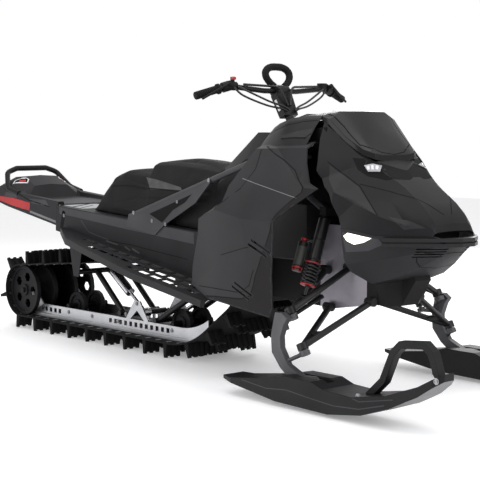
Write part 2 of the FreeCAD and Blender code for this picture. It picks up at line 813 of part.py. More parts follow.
bulkhead_half_width = 118.0
bulkhead_wall = 9.0
bulkhead_nose_wall = 27.0
bulkhead_shares = [
    (0, .05), (.62, .0), (1, .12), (.96, .34), (.82, .62), (.72, 1), (.58, 1), (.50, .56), (0, .56)]
bulkhead_rear_x = tunnel_front_x + fit_gap
bulkhead_length = ski_bolt_x - bulkhead_rear_x
bulkhead_low_z = 312.0
bulkhead_height = 330.0
belly_shares = [(.700, .075), (.729, .055), (.765, .055), (.821, .180), (.815, .200), (.700, .160)]
belly_rear_lap = 30.0
belly_plan_lap = 42.0
belly_plan_shares = [(.690, .236), (.708, .236), (.738, .200), (.767, .090), (.830, .090)]
beam_x = 778.0
beam_z = 700.0
beam_half_width = 16.0
beam_half_length = 232.0


def started_by(outline, x):
    # the rear end of an outline, drawn back to x where it would start ahead of it
    rear_x = outline[0][0]
    return [(min(x, rear_x), height) if place == rear_x else (place, height) for place, height in outline]


def make_bulkhead(pan):
    outline = placed(bulkhead_shares, bulkhead_rear_x, bulkhead_length, bulkhead_low_z, bulkhead_height)
    body = side_prism(outline, -bulkhead_half_width, bulkhead_half_width)
    inner_half = bulkhead_half_width - bulkhead_wall
    pocket = side_prism(outline, -inner_half, inner_half)
    pocket.translate(Vector(0, 0, bulkhead_wall))
    pocket = pocket.common(block(bulkhead_rear_x + bulkhead_wall, ski_bolt_x - bulkhead_nose_wall,
                                 -inner_half, inner_half, 0, body_base_z + body_height))
    body = body.cut(pocket)
    plan = started_by(body_plan(belly_plan_shares), ski_bolt_x - belly_plan_lap)
    side = started_by(body_side(belly_shares), ski_bolt_x - belly_rear_lap)
    belly = side_prism(side, -bulkhead_half_width, bulkhead_half_width)
    belly = belly.common(plan_prism(plan + [(x, -y) for x, y in plan[::-1]], 0, body_base_z + body_height))
    post_y = bulkhead_half_width - beam_half_width
    root_z = bulkhead_low_z + bulkhead_height - 2 * beam_half_width
    roots = [Vector(beam_x, side * post_y, root_z) for side in (-1, 1)]
    posts = [rod(root, root + axis_z * (beam_z - root_z), beam_half_width) for root in roots]
    beam = block(beam_x - beam_half_width, beam_x + beam_half_width, -beam_half_length, beam_half_length,
                 beam_z - beam_half_width, beam_z + beam_half_width)
    return fused([body, beam, largest(belly.cut(pan))] + posts)


# Engine: one plain block at its real place

engine_rear_gap = 19.3
engine_length = 295.2
engine_half_width_share = 0.38
engine_height_share = 0.281


def make_engine():
    x_low = bulkhead_rear_x + engine_rear_gap
    half_width = engine_half_width_share * body_half_width
    z_low = bulkhead_low_z + bulkhead_shares[-1][1] * bulkhead_height + fit_gap
    return block(x_low, x_low + engine_length, -half_width, half_width,
                 z_low, z_low + engine_height_share * body_height)


# Frame struts from the tunnel up to the steering post's bridge, with a gusset plate on each side

strut_radius = 13.0
strut_low_x = -475.0
strut_y = 208.0
strut_high_y = 200.0
bridge_drop = 20.0
gusset_sheet = 6.0
gusset_shares = [
    (0, 0), (-.017, -.162), (.218, -.257), (.296, -.085), (.531, .278), (.642, .595), (.642, .642)]
collar_wall = 7.0
collar_length = 46.0
collar_foot = 14.0


def make_struts():
    low_z = tunnel_top_z(strut_low_x) + strut_radius
    bridge = post_foot - axis_z * bridge_drop
    shapes = [rod(bridge - axis_y * strut_high_y, bridge + axis_y * strut_high_y, strut_radius)]
    outline = placed(gusset_shares, strut_low_x, bridge.x - strut_low_x, low_z, bridge.z - low_z)
    gusset_y = strut_y + strut_radius - gusset_sheet
    for side in (-1, 1):
        foot = Vector(strut_low_x, side * strut_y, low_z)
        head = bridge + axis_y * side * strut_high_y
        shapes.append(rod(foot, head, strut_radius))
        shapes.append(rod(head, Vector(beam_x - beam_half_width, side * strut_high_y, beam_z), strut_radius))
        shapes.append(side_prism(outline, side * gusset_y, side * (gusset_y + gusset_sheet)))
    socket = post_foot - post_axis * fit_gap
    shapes.append(rod(socket - post_axis * collar_foot, socket + post_axis * collar_length,
                      post_radius + collar_wall, fine_sides))
    return fused(shapes).cut(bore(socket, post_head, post_radius + fit_gap))


# Seat: two-tier cushion on the tunnel's top

seat_rear_x = -830.0
seat_length = 885.0
seat_half_width = 168.0
seat_low_z = 580.0
seat_height = 304.0
seat_stations_shares = [
    (.000, [(0, .303), (.565, .303), (.744, .289), (1.0, .197), (1.0, 0)]),
    (.034, [(0, .510), (.565, .510), (.762, .467), (1.0, .184), (1.0, 0)]),
    (.124, [(0, .757), (.565, .750), (.762, .704), (1.0, .164), (1.0, 0)]),
    (.215, [(0, .849), (.548, .842), (.762, .789), (1.0, .145), (1.0, 0)]),
    (.429, [(0, .829), (.548, .822), (.762, .770), (1.0, .105), (1.0, 0)]),
    (.475, [(0, 1.0), (.524, .997), (.750, .947), (1.0, .099), (1.0, 0)]),
    (.633, [(0, 1.0), (.524, .997), (.750, .947), (1.0, .066), (1.0, 0)]),
    (.825, [(0, .967), (.524, .964), (.750, .914), (1.0, .033), (1.0, 0)]),
    (1.00, [(0, .908), (.524, .905), (.750, .862), (1.0, .020), (1.0, 0)])]


def make_seat():
    seat_frame = (seat_rear_x, seat_length, seat_half_width, seat_low_z, seat_height)
    lines = arched_lines(seat_stations_shares, True, seat_frame)
    body = ringed_solid([at_x(x, line) for x, line in lines])
    rear, front = seat_rear_x - overrun, seat_rear_x + seat_length + overrun
    roof = side_prism([(rear, tunnel_top_z(rear) + fit_gap), (front, tunnel_top_z(front) + fit_gap),
                       (front, 0), (rear, 0)], -tunnel_half_outer, tunnel_half_outer)
    return largest(body.cut(roof))


# Tail: crowned deck with a flat plate ahead of it, lamps, grab hoop and cargo anchors

tail_length = 540.0
tail_rear_x = tunnel_rear_x - fit_gap - tail_length
tail_half_width = 205.0
tail_low_z = 545.0
tail_height = 233.0
tail_sheet = 8.0
tail_stations_shares = [
    (.000, [(0, .974), (.488, .957), (.805, .828), (.976, .760), (1.0, .408)]),
    (.153, [(0, 1.0), (.488, .974), (.805, .803), (.976, .665), (1.0, .330)]),
    (.334, [(0, .815), (.488, .785), (.780, .674), (.966, .639), (1.0, .266)]),
    (.382, [(0, .528), (.780, .528), (.805, .622), (.966, .631), (1.0, .249)]),
    (1.00, [(0, .451), (.780, .451), (.805, .511), (.966, .511), (1.0, 0)])]
tail_lamp_shares = [(.019, .545), (.229, .528), (.534, .442), (.534, .270), (.229, .356), (.019, .442)]
hoop_radius = 14.0
hoop_bend = 40.0
hoop_places_shares = [(.324, .927, .622), (.134, .937, .717), (0, .732, 1.060), (-.011, .439, 1.146)]
anchor_radius = 15.0
anchor_places = [-960.0, -880.0]
anchor_ring = 9.0
anchor_height = 20.0
anchor_depth = 14.0


def make_tail():
    tail_frame = (tail_rear_x, tail_length, tail_half_width, tail_low_z, tail_height)
    body = arched_skin(tail_stations_shares, True, 0, tail_frame, tail_sheet)
    outline = placed(tail_lamp_shares, tail_rear_x, tail_length, tail_low_z, tail_height)
    lamp = side_prism(outline, tail_half_width - tail_sheet - overrun, tail_half_width + overrun)
    lamps = [largest(body.common(piece)) for piece in both_sides(lamp)]
    return without(body, lamps), lamps


def make_hoop():
    half = [Vector(tail_rear_x + x * tail_length, y * tail_half_width, tail_low_z + z * tail_height)
            for x, y, z in hoop_places_shares]
    other = [Vector(point.x, -point.y, point.z) for point in half]
    return bent_rod(half + other[::-1], hoop_radius, hoop_bend)


def make_anchors():
    solids = []
    for x in anchor_places:
        top = tunnel_top_z(x)
        low, high = Vector(x, 0, top - overrun), Vector(x, 0, top + anchor_height)
        ring = rod(low, high, anchor_radius + anchor_ring, fine_sides)
        ring = ring.cut(Part.makeCylinder(anchor_radius, anchor_height, high - axis_z * anchor_depth))
        rear, front = x - 2 * overrun, x + 2 * overrun
        roof = side_prism([(rear, 0), (front, 0), (front, tunnel_top_z(front)), (rear, tunnel_top_z(rear))],
                          -tunnel_half_inner, tunnel_half_inner)
        solids.append(ring.cut(roof))
    return solids


# Kingpin: the leaning axis on which each spindle turns

kingpin_y = 420.0
lower_ball_x = 865.0
lower_ball_z = 210.0
upper_ball_x = 800.0
upper_ball_z = 336.0
lower_ball = Vector(lower_ball_x, kingpin_y, lower_ball_z)
upper_ball = Vector(upper_ball_x, kingpin_y, upper_ball_z)
kingpin = (upper_ball - lower_ball).normalize()
ball_radius = 21.0
ball_height = 26.0
stud_radius = 8.0

# Suspension arms, fixed at ride height

wishbone_radius = 12.5
wishbone_foot_radius = 17.5
wishbone_foot_half = 20.0
wishbone_tie_share = 0.72
wishbone_inner_y = bulkhead_half_width + fit_gap
lower_front_x = 942.0
lower_front_z = 360.0
lower_rear_x = 719.0
lower_rear_z = 320.0
upper_front_x = 830.0
upper_front_z = 484.0
upper_rear_x = 700.0
upper_rear_z = 466.0
shock_top_x = beam_x
shock_top_y = 215.0
shock_radius = 24.0
shock_body_shares = (0.04, 0.62)
spring_shares = (0.60, 0.86)
spring_radius = 31.0
reservoir_share = 0.34
reservoir_radius = 21.0
reservoir_length = 120.0
reservoir_shift_x = -58.0
reservoir_shift_y = 22.0


def ball_housing(point):
    half = kingpin * ball_height / 2
    return rod(point - half, point + half, ball_radius, fine_sides)


def ball_bore(point):
    return bore(point - kingpin * ball_height, point + kingpin * ball_height, stud_radius + pin_gap)


def make_wishbone(front, rear, ball):
    feet = []
    shapes = [ball_housing(ball)]
    for foot in (front, rear):
        middle = foot + axis_y * wishbone_foot_radius
        feet.append(rod(middle - axis_x * wishbone_foot_half, middle + axis_x * wishbone_foot_half,
                        wishbone_foot_radius))
        shapes.append(rod(foot + axis_y * wishbone_radius, ball, wishbone_radius))
    ties = [foot + (ball - foot) * wishbone_tie_share for foot in (front, rear)]
    shapes.append(rod(ties[0], ties[1], wishbone_radius))
    inside = block(0, ski_bolt_x, 0, bulkhead_half_width + fit_gap, 0, body_base_z + body_height)
    return without(fused(shapes + feet), [ball_bore(ball), inside])


def make_lower_arm():
    return make_wishbone(Vector(lower_front_x, wishbone_inner_y, lower_front_z),
                         Vector(lower_rear_x, wishbone_inner_y, lower_rear_z), lower_ball)


def upper_arm_feet():
    return [Vector(upper_front_x, wishbone_inner_y, upper_front_z),
            Vector(upper_rear_x, wishbone_inner_y, upper_rear_z)]


def make_upper_arm():
    front, rear = upper_arm_feet()
    return make_wishbone(front, rear, upper_ball)


def shock_foot():
    ties = [foot + (upper_ball - foot) * wishbone_tie_share for foot in upper_arm_feet()]
    return (ties[0] + ties[1]) * 0.5


def make_shock():
    top = Vector(shock_top_x, shock_top_y, beam_z - beam_half_width)
    low = shock_foot() + axis_z * wishbone_radius
    span = low - top
    body = rod(top + span * shock_body_shares[0], top + span * shock_body_shares[1], shock_radius, fine_sides)
    spring = rod(top + span * spring_shares[0], top + span * spring_shares[1], spring_radius, fine_sides)
    shaft = rod(top, low, shock_radius / 2)
    branch = top + span * reservoir_share
    tank_top = branch + Vector(reservoir_shift_x, reservoir_shift_y, 0)
    tank = rod(tank_top, tank_top + Vector(span).normalize() * reservoir_length, reservoir_radius, fine_sides)
    neck = rod(tank_top - axis_z * reservoir_radius, branch, shock_radius / 2)
    return fused([body, spring, shaft, tank, neck])


# Spindles with their steering arms

spindle_thickness = 26.0
spindle_low_y = half_stance - spindle_thickness / 2
spindle_shares = [(.00, 1.0), (.16, 1.0), (.28, .93), (.20, .84), (.12, .66), (.13, .50), (.30, .28), (.62, .16),
                  (.88, .17), (1.0, .11), (1.0, .03), (.92, -.03), (.45, .02), (.12, .22), (-.08, .42),
                  (-.10, .66), (-.04, .88)]
spindle_rear_x = 772.0
spindle_foot_z = 72.0
spindle_height = 262.0
spindle_length = 226.0
ski_bolt_radius = 9.0
ski_bolt_z = 92.0
lug_thickness = 16.0
lug_web_reach = 54.6
lug_web_drop = 31.5
steer_ball_x = 728.0
steer_ball_y = 392.0
steer_ball_z = 286.0
steer_ball = Vector(steer_ball_x, steer_ball_y, steer_ball_z)
steer_pad_radius = 16.8
tie_housing_radius = 15.8
tie_housing_height = 20.8
tie_radius = 9.0
tie_inner_y = 180.0
tie_inner_z = 366.0


def stud_lug(ball):
    under = ball - kingpin * (ball_height / 2 + running_gap + lug_thickness)
    collar = rod(under, under + kingpin * lug_thickness, ball_radius, fine_sides)
    stud = rod(under + kingpin * lug_thickness, ball + kingpin * ball_height / 2, stud_radius, fine_sides)
    return fused([collar, stud])


def lug_web(ball):
    under = ball - kingpin * (ball_height / 2 + running_gap + lug_thickness / 2)
    wall = Vector(under.x - lug_web_reach, half_stance, under.z - lug_web_drop)
    return rod(under, wall, lug_thickness / 2)


def make_spindle():
    outline = placed(spindle_shares, spindle_rear_x, spindle_length, spindle_foot_z, spindle_height)
    plate = side_prism(outline, spindle_low_y, spindle_low_y + spindle_thickness)
    steer_end = Vector(spindle_rear_x + spindle_thickness / 2, half_stance, steer_ball_z - 2 * lug_thickness)
    steer_under = steer_ball - kingpin * (ball_height / 2 + running_gap + lug_thickness)
    steer_pin = rod(steer_under + kingpin * lug_thickness, steer_ball + kingpin * ball_height / 2, stud_radius,
                    fine_sides)
    steer_pad = rod(steer_under, steer_under + kingpin * lug_thickness, steer_pad_radius, fine_sides)
    steer_arm = rod(steer_under + kingpin * lug_thickness / 2, steer_end, lug_thickness / 2)
    spindle = fused([plate, stud_lug(lower_ball), stud_lug(upper_ball), lug_web(lower_ball), lug_web(upper_ball),
                     steer_pin, steer_pad, steer_arm])
    return spindle.cut(bore(Vector(ski_bolt_x, spindle_low_y - overrun, ski_bolt_z),
                            Vector(ski_bolt_x, spindle_low_y + spindle_thickness + overrun, ski_bolt_z),
                            ski_bolt_radius + pin_gap))


def make_tie_rod():
    half = kingpin * tie_housing_height / 2
    housing = rod(steer_ball - half, steer_ball + half, tie_housing_radius, fine_sides)
    shaft = rod(steer_ball, Vector(steer_ball_x, tie_inner_y, tie_inner_z), tie_radius)
    return fused([housing, shaft]).cut(bore(steer_ball - 2 * half, steer_ball + 2 * half, stud_radius + pin_gap))


# Skis

ski_half_width = 82.0
ski_tail_x = 520.0
ski_tip_x = 1595.0
ski_length = ski_tip_x - ski_tail_x
ski_shares = [(.00, .070), (.05, .068), (.22, .092), (.335, .118), (.475, .118), (.53, .098), (.66, .092),
              (.80, .118), (.92, .165), (1.0, .215), (1.0, .190), (.92, .130), (.82, .078), (.70, .034), (.55, .012),
              (.30, .018), (.12, .040), (.00, .056)]
ski_plan_shares = [(.00, .62), (.06, .86), (.30, 1.0), (.70, 1.0), (.88, .90), (.97, .60), (1.0, .30)]
ski_unit_height = 1000.0
channel_rear = 205.0
channel_front = 85.0
channel_floor_z = 42.0
bolt_overhang = 15.0
runner_half = 6.0
runner_rear_x = 860.0
runner_front_x = 1110.0
ski_bottom_z = 12.0


def make_ski():
    outline = placed(ski_shares, ski_tail_x, ski_length, 0, ski_unit_height)
    body = side_prism(outline, half_stance - ski_half_width, half_stance + ski_half_width)
    plan = [(ski_tail_x + x * ski_length, half_stance + y * ski_half_width) for x, y in ski_plan_shares]
    plan += [(ski_tail_x + x * ski_length, half_stance - y * ski_half_width) for x, y in ski_plan_shares[::-1]]
    body = body.common(plan_prism(plan, 0, ski_unit_height))
    channel_half = spindle_thickness / 2 + running_gap
    channel = block(ski_bolt_x - channel_rear, ski_bolt_x + channel_front, half_stance - channel_half,
                    half_stance + channel_half, channel_floor_z, ski_unit_height)
    bolt_half = channel_half + bolt_overhang
    bolt = rod(Vector(ski_bolt_x, half_stance - bolt_half, ski_bolt_z),
               Vector(ski_bolt_x, half_stance + bolt_half, ski_bolt_z), ski_bolt_radius, fine_sides)
    return fused([body.cut(channel), bolt])


def make_runner():
    return block(runner_rear_x, runner_front_x, half_stance - runner_half, half_stance + runner_half,
                 0, ski_bottom_z)


# Ski loops

loop_rear_x = 1236.0
loop_front_x = 1566.0
loop_half_width = 17.0
loop_bar = 26.0
loop_shares = [(.00, .02), (.20, .30), (.34, .78), (.46, .95), (.80, 1.0), (.92, .86), (1.0, .50), (.95, .44)]
loop_low_z = 96.0
loop_height = 214.0


def make_loop():
    outline = placed(loop_shares, loop_rear_x, loop_front_x - loop_rear_x, loop_low_z, loop_height)
    inner = offset_line(outline, loop_bar)
    return side_prism(outline + inner[::-1], half_stance - loop_half_width, half_stance + loop_half_width)


# Handlebar on its leaning post, with a flat riser below the bar and a padded strap above it

post_foot_x_share = 0.26667
post_foot_z_share = 0.78125
post_lean = 128.0
post_rise = 247.0
post_radius = 17.0
riser_start = 158.0
riser_stop = 262.0
riser_half_low = 38.0
riser_half_high = 45.0
riser_half_depth = 18.0
bar_radius = 11.5
bar_bend = 60.0
bar_inner_y = 90.0
shoulder_back = 8.0
shoulder_y = 280.0
shoulder_rise = 16.0
bar_end_back = 42.0
bar_end_y = 400.0
bar_end_drop = 20.0
grip_radius = 17.0
grip_length = 112.0
grip_collar_share = 1.35
strap_radius = 16.0
strap_bend = 35.0
strap_foot_y = 40.0
strap_foot_rise = 8.0
strap_wide_y = 72.0
strap_wide_rise = 55.0
strap_top_y = 58.0
strap_top_rise = 118.0
clamp_half_width = 34.0
clamp_radius = 27.0
unit_radius = 21.0
unit_length = 34.0
unit_shift_share = 0.2
lever_reach_share = 1.6
lever_radius = 5.0
lever_length = 130.0
lever_drop = 30.0
tank_shift = 25.0
switch_radius = 18.5
button_radius = 9.0
button_height = 16.0
cable_radius = 5.0
cable_bend = 38.0
cable_start_shift = 71.0
cable_half_pitch = 6.5
cable_end_rise = 40.0

post_foot = Vector(body_rear_x + post_foot_x_share * body_length, 0,
                   body_base_z + post_foot_z_share * body_height)
post_head = post_foot + Vector(-post_lean, 0, post_rise)
post_axis = (post_head - post_foot).normalize()
bar_shoulder = post_head + Vector(-shoulder_back, shoulder_y, shoulder_rise)
bar_end = post_head + Vector(-bar_end_back, bar_end_y, -bar_end_drop)
grip_line = (bar_end - bar_shoulder).normalize()
bar_ahead = post_axis.cross(axis_y).normalize() * -1


def make_bar():
    half = [Vector(post_head.x, bar_inner_y, post_head.z), bar_shoulder, bar_end]
    other = [Vector(point.x, -point.y, point.z) for point in half[::-1]]
    return bent_rod(other + half, bar_radius, bar_bend)


def make_grip():
    start = bar_end - grip_line * (grip_length - 2 * bar_radius)
    grip = rod(start, start + grip_line * grip_length, grip_radius, fine_sides)
    collar = rod(start, start + grip_line * bar_radius, grip_radius * grip_collar_share, fine_sides)
    return fused([grip, collar])


def make_riser():
    rings = []
    for rise, half_width in ((riser_start, riser_half_low), (riser_stop, riser_half_high)):
        middle = post_foot + post_axis * rise
        across = axis_y * half_width
        depth = bar_ahead * riser_half_depth
        rings.append([middle + across + depth, middle - across + depth, middle - across - depth,
                      middle + across - depth])
    return ringed_solid(rings)


def make_clamp():
    half_clamp = axis_y * clamp_half_width
    head = rod(post_head - half_clamp, post_head + half_clamp, clamp_radius, fine_sides)
    post = rod(post_foot, post_foot + post_axis * (riser_start + post_radius), post_radius, fine_sides)
    return fused([head, post, make_riser()])


def make_strap():
    half = [(strap_foot_y, strap_foot_rise), (strap_wide_y, strap_wide_rise), (strap_top_y, strap_top_rise)]
    left = [post_head + axis_y * y + post_axis * rise for y, rise in half]
    right = [post_head - axis_y * y + post_axis * rise for y, rise in half]
    return bent_rod(left + right[::-1], strap_radius, strap_bend)


def bar_unit(side):
    base = Vector(bar_shoulder.x, side * bar_shoulder.y, bar_shoulder.z)
    line = Vector(grip_line.x, side * grip_line.y, grip_line.z)
    start = base - line * unit_length * unit_shift_share
    body = rod(start, start + line * unit_length, unit_radius, fine_sides)
    middle = start + line * unit_length / 2
    tip = middle + bar_ahead * unit_radius * lever_reach_share
    lever = rod(middle, tip, unit_radius / 2)
    blade = rod(tip, tip + line * lever_length - axis_z * lever_drop, lever_radius)
    return fused([body, lever, blade])


def brake_parts():
    low = Vector(bar_shoulder.x, bar_shoulder.y - tank_shift, bar_shoulder.z - unit_length / 3)
    tank = rod(low, low + axis_z * unit_length, unit_radius, fine_sides)
    return fused([bar_unit(1), tank])


def throttle_parts():
    start = Vector(bar_shoulder.x, -bar_shoulder.y + unit_shift_share * unit_length, bar_shoulder.z)
    switch = rod(start, start + axis_y * unit_length, switch_radius)
    middle = start + axis_y * unit_length / 2
    button = rod(middle, middle + axis_z * (unit_radius + button_height), button_radius)
    return fused([bar_unit(-1), switch, button])


def make_cable(side):
    start = Vector(bar_shoulder.x, side * (bar_shoulder.y - cable_start_shift), bar_shoulder.z)
    start += bar_ahead * (bar_radius + cable_radius + fit_gap)
    middle = post_head + bar_ahead * (clamp_radius + 2 * cable_radius) + axis_y * side * clamp_half_width
    low = post_foot + post_axis * (riser_start + cable_end_rise)
    low += bar_ahead * (riser_half_depth + cable_radius + fit_gap) + axis_y * side * cable_half_pitch
    return bent_rod([start, middle, low], cable_radius, cable_bend, 8)


def handlebar_parts():
    bar = make_bar()
    clamp = make_clamp().cut(bar)
    grips = [grip.cut(bar) for grip in both_sides(make_grip())]
    strap = largest(without(make_strap(), [clamp, bar]))
    brake = brake_parts().cut(bar)
    throttle = throttle_parts().cut(bar)
    cables = [largest(without(make_cable(side), [clamp, bar])) for side in (-1, 1)]
    return {"steering_post": [clamp], "handlebar": [bar], "grips": grips, "grab_strap": [strap],
            "brake_unit": [brake.cut(grips[0])], "throttle_unit": [throttle.cut(grips[1])],
            "control_cables": cables}


# Gauge, lying in the shroud's top to face the rider

gauge_rear_share = 0.271
gauge_front_share = 0.354
gauge_half_width = 70.0
gauge_stand = 4.0
gauge_depth = 20.0


def shroud_top_z(share):
    tops = [(station, line[0][1]) for station, line in shroud_stations_shares[::-1]]
    for (station, top), (following, next_top) in zip(tops, tops[1:]):
        if share <= following:
            break
    slope = (next_top - top) / (following - station)
    return body_base_z + (top + slope * (share - station)) * body_height


def make_gauge():
    tops = [(body_rear_x + share * body_length, shroud_top_z(share))
            for share in (gauge_rear_share, gauge_front_share)]
    outline = [(x, z + gauge_stand) for x, z in tops] + [(x, z - gauge_depth) for x, z in tops[::-1]]
    return side_prism(outline, -gauge_half_width, gauge_half_width)


def chassis_parts(pan, hood):
    pieces = {}
    rails = both_sides(make_rail())
    arms, dampers = skid_parts()
    pieces["track"] = [make_track()]
    pieces["slide_rails"] = [without(rail, arms) for rail in rails]
    pieces["rear_axle"] = [make_rear_axle()]
    pieces["idler_wheels"] = make_idler_wheels()
    pieces["drive_axle"] = [make_drive_axle()]
    pieces["skid_arms"] = arms
    pieces["skid_dampers"] = dampers
    pieces["tunnel"] = [make_tunnel()]
    board = make_board()
    pieces["running_board_left"] = [board]
    pieces["running_board_right"] = [mirrored(board)]
    bulkhead = make_bulkhead(pan)
    pieces["bulkhead"] = [bulkhead]
    pieces["engine"] = [make_engine()]
    pieces["frame_struts"] = [make_struts().cut(bulkhead)]
    upper = both_sides(make_upper_arm())
    pieces["upper_arms"] = upper
    pieces["lower_arms"] = both_sides(make_lower_arm())
    shocks = both_sides(make_shock())
    pieces["ski_shocks"] = [largest(without(shock, [bulkhead, arm])) for shock, arm in zip(shocks, upper)]
    pieces["front_bumper"] = [make_lip(pan, hood)]
    return pieces


def tail_parts():
    tail, lamps = make_tail()
    return {"tail_cover": [tail], "tail_lamps": lamps, "grab_hoop": [largest(make_hoop().cut(tail))],
            "cargo_anchors": make_anchors()}


def body_parts(hood, pan, struts):
    head_lenses = [hood.common(lens) for lens in both_sides(head_prism())]
    lower_lenses = [pan.common(lens) for lens in both_sides(lower_prism())]
    gauge = make_gauge()
    console = arched_skin(console_stations_shares, True, 0)
    console = without(console, [bore(post_foot, post_head, post_radius + running_gap), struts])
    shroud = arched_skin(shroud_stations_shares, True).cut(gauge)
    windshield = make_windshield()
    panel = largest(without(side_skin(), [shroud, windshield, hood]))
    return {"hood": [without(hood, head_lenses)], "nose_pan": [without(pan, lower_lenses)],
            "headlamps": head_lenses, "lower_lamps": lower_lenses,
            "windshield": [windshield], "pod_shroud": [shroud], "console": [console], "gauge": [gauge],
            "seat": [make_seat()], "side_panel_left": [panel], "side_panel_right": [mirrored(panel)]}


def side_parts(side, turn):
    ski = make_ski()
    return {"spindle_" + side: [turn(make_spindle())], "tie_rod_" + side: [turn(make_tie_rod())],
            "ski_" + side: [turn(ski)], "ski_loop_" + side: [turn(largest(make_loop().cut(ski)))],
            "ski_runner_" + side: [turn(make_runner())]}


def main():
    os.makedirs("parts", exist_ok=True)
    hood = make_hood(windshield_seat())
    pan = make_pan(hood)
    pieces = chassis_parts(pan, hood)
    pieces.update(tail_parts())
    pieces.update(body_parts(hood, pan, pieces["frame_struts"][0]))
    pieces.update(side_parts("left", lambda shape: shape))
    pieces.update(side_parts("right", mirrored))
    pieces.update(handlebar_parts())
    for node, solids in pieces.items():
        save(node, solids)


main()
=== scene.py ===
import json
import math

import bmesh
import bpy
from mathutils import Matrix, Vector
from mathutils.bvhtree import BVHTree


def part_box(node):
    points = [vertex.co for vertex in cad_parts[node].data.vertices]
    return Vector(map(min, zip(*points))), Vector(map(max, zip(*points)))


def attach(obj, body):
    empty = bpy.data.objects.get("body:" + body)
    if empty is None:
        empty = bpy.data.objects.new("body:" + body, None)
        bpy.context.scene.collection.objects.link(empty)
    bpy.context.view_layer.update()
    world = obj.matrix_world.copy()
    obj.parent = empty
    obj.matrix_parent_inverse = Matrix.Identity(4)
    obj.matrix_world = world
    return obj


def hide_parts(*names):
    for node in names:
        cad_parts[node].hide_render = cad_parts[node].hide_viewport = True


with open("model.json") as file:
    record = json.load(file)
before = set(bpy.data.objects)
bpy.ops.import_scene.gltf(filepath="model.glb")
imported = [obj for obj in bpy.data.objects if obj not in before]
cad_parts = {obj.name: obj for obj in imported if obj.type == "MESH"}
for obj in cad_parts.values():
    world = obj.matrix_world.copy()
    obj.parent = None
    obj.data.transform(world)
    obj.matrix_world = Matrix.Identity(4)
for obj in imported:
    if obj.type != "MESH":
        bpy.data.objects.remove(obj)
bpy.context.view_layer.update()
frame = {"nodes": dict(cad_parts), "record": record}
print("frame loaded:", len(frame["nodes"]), "nodes")

weld = 0.00001  # points closer than this are one, metres


def newObject(name, data):
    item = bpy.data.objects.new(name, data)
    bpy.context.collection.objects.link(item)
    return item


def setInputs(node, values):
    for name, value in values.items():
        node.inputs[name].default_value = value
    return node


def wire(tree, *rows):
    for source, output, target, entry in rows:
        tree.links.new(source.outputs[output], target.inputs[entry])


# camera where the photographer stood, metres in the part's frame
cameraSet = {"place": (4.3733, -3.8138, 1.0053), "azimuth": 48.516, "pitch": -4.687, "lens": 99.43,
             "sensor": 36.0}


def makeCamera():
    data = bpy.data.cameras.new("photoCamera")
    data.lens = cameraSet["lens"]
    data.sensor_width = cameraSet["sensor"]
    camera = newObject("photoCamera", data)
    azimuth, pitch = math.radians(cameraSet["azimuth"]), math.radians(cameraSet["pitch"])
    level = math.cos(pitch)
    look = Vector((-math.sin(azimuth) * level, math.cos(azimuth) * level, math.sin(pitch)))
    camera.location = cameraSet["place"]
    camera.rotation_euler = look.to_track_quat("-Z", "Y").to_euler()
    bpy.context.scene.camera = camera


# area lights: place, aim, size in metres, watts
lightSet = {
    "overhead": ((0.3, -0.4, 4.2), (0.0, 0.0, 0.4), 5.0, 95),
    "noseSide": ((4.6, 0.9, 2.2), (0.9, 0.0, 0.6), 2.6, 55),
    "flankSide": ((-0.4, -4.8, 1.9), (-0.2, 0.0, 0.5), 3.6, 95),
    "farSide": ((-2.6, 4.2, 2.6), (0.0, 0.0, 0.5), 3.0, 90)}
worldLight = 0.72


def makeLights():
    for name, (place, aim, size, power) in lightSet.items():
        data = bpy.data.lights.new(name, "AREA")
        data.size = size
        data.energy = power
        lamp = newObject(name, data)
        lamp.location = place
        lamp.rotation_euler = (Vector(aim) - Vector(place)).to_track_quat("-Z", "Y").to_euler()
    world = bpy.data.worlds.new("studio")
    world.use_nodes = True
    nodes = world.node_tree.nodes
    background = setInputs(nodes["Background"], {"Color": (1.0, 1.0, 1.0, 1.0)})
    path = nodes.new("ShaderNodeLightPath")
    # white where the camera looks, softer as a light
    power = setInputs(nodes.new("ShaderNodeMapRange"), {"To Min": worldLight, "To Max": 1.0})
    wire(world.node_tree, (path, "Is Camera Ray", power, "Value"),
         (power, "Result", background, "Strength"))
    bpy.context.scene.world = world
    bpy.context.scene.view_settings.view_transform = "Standard"


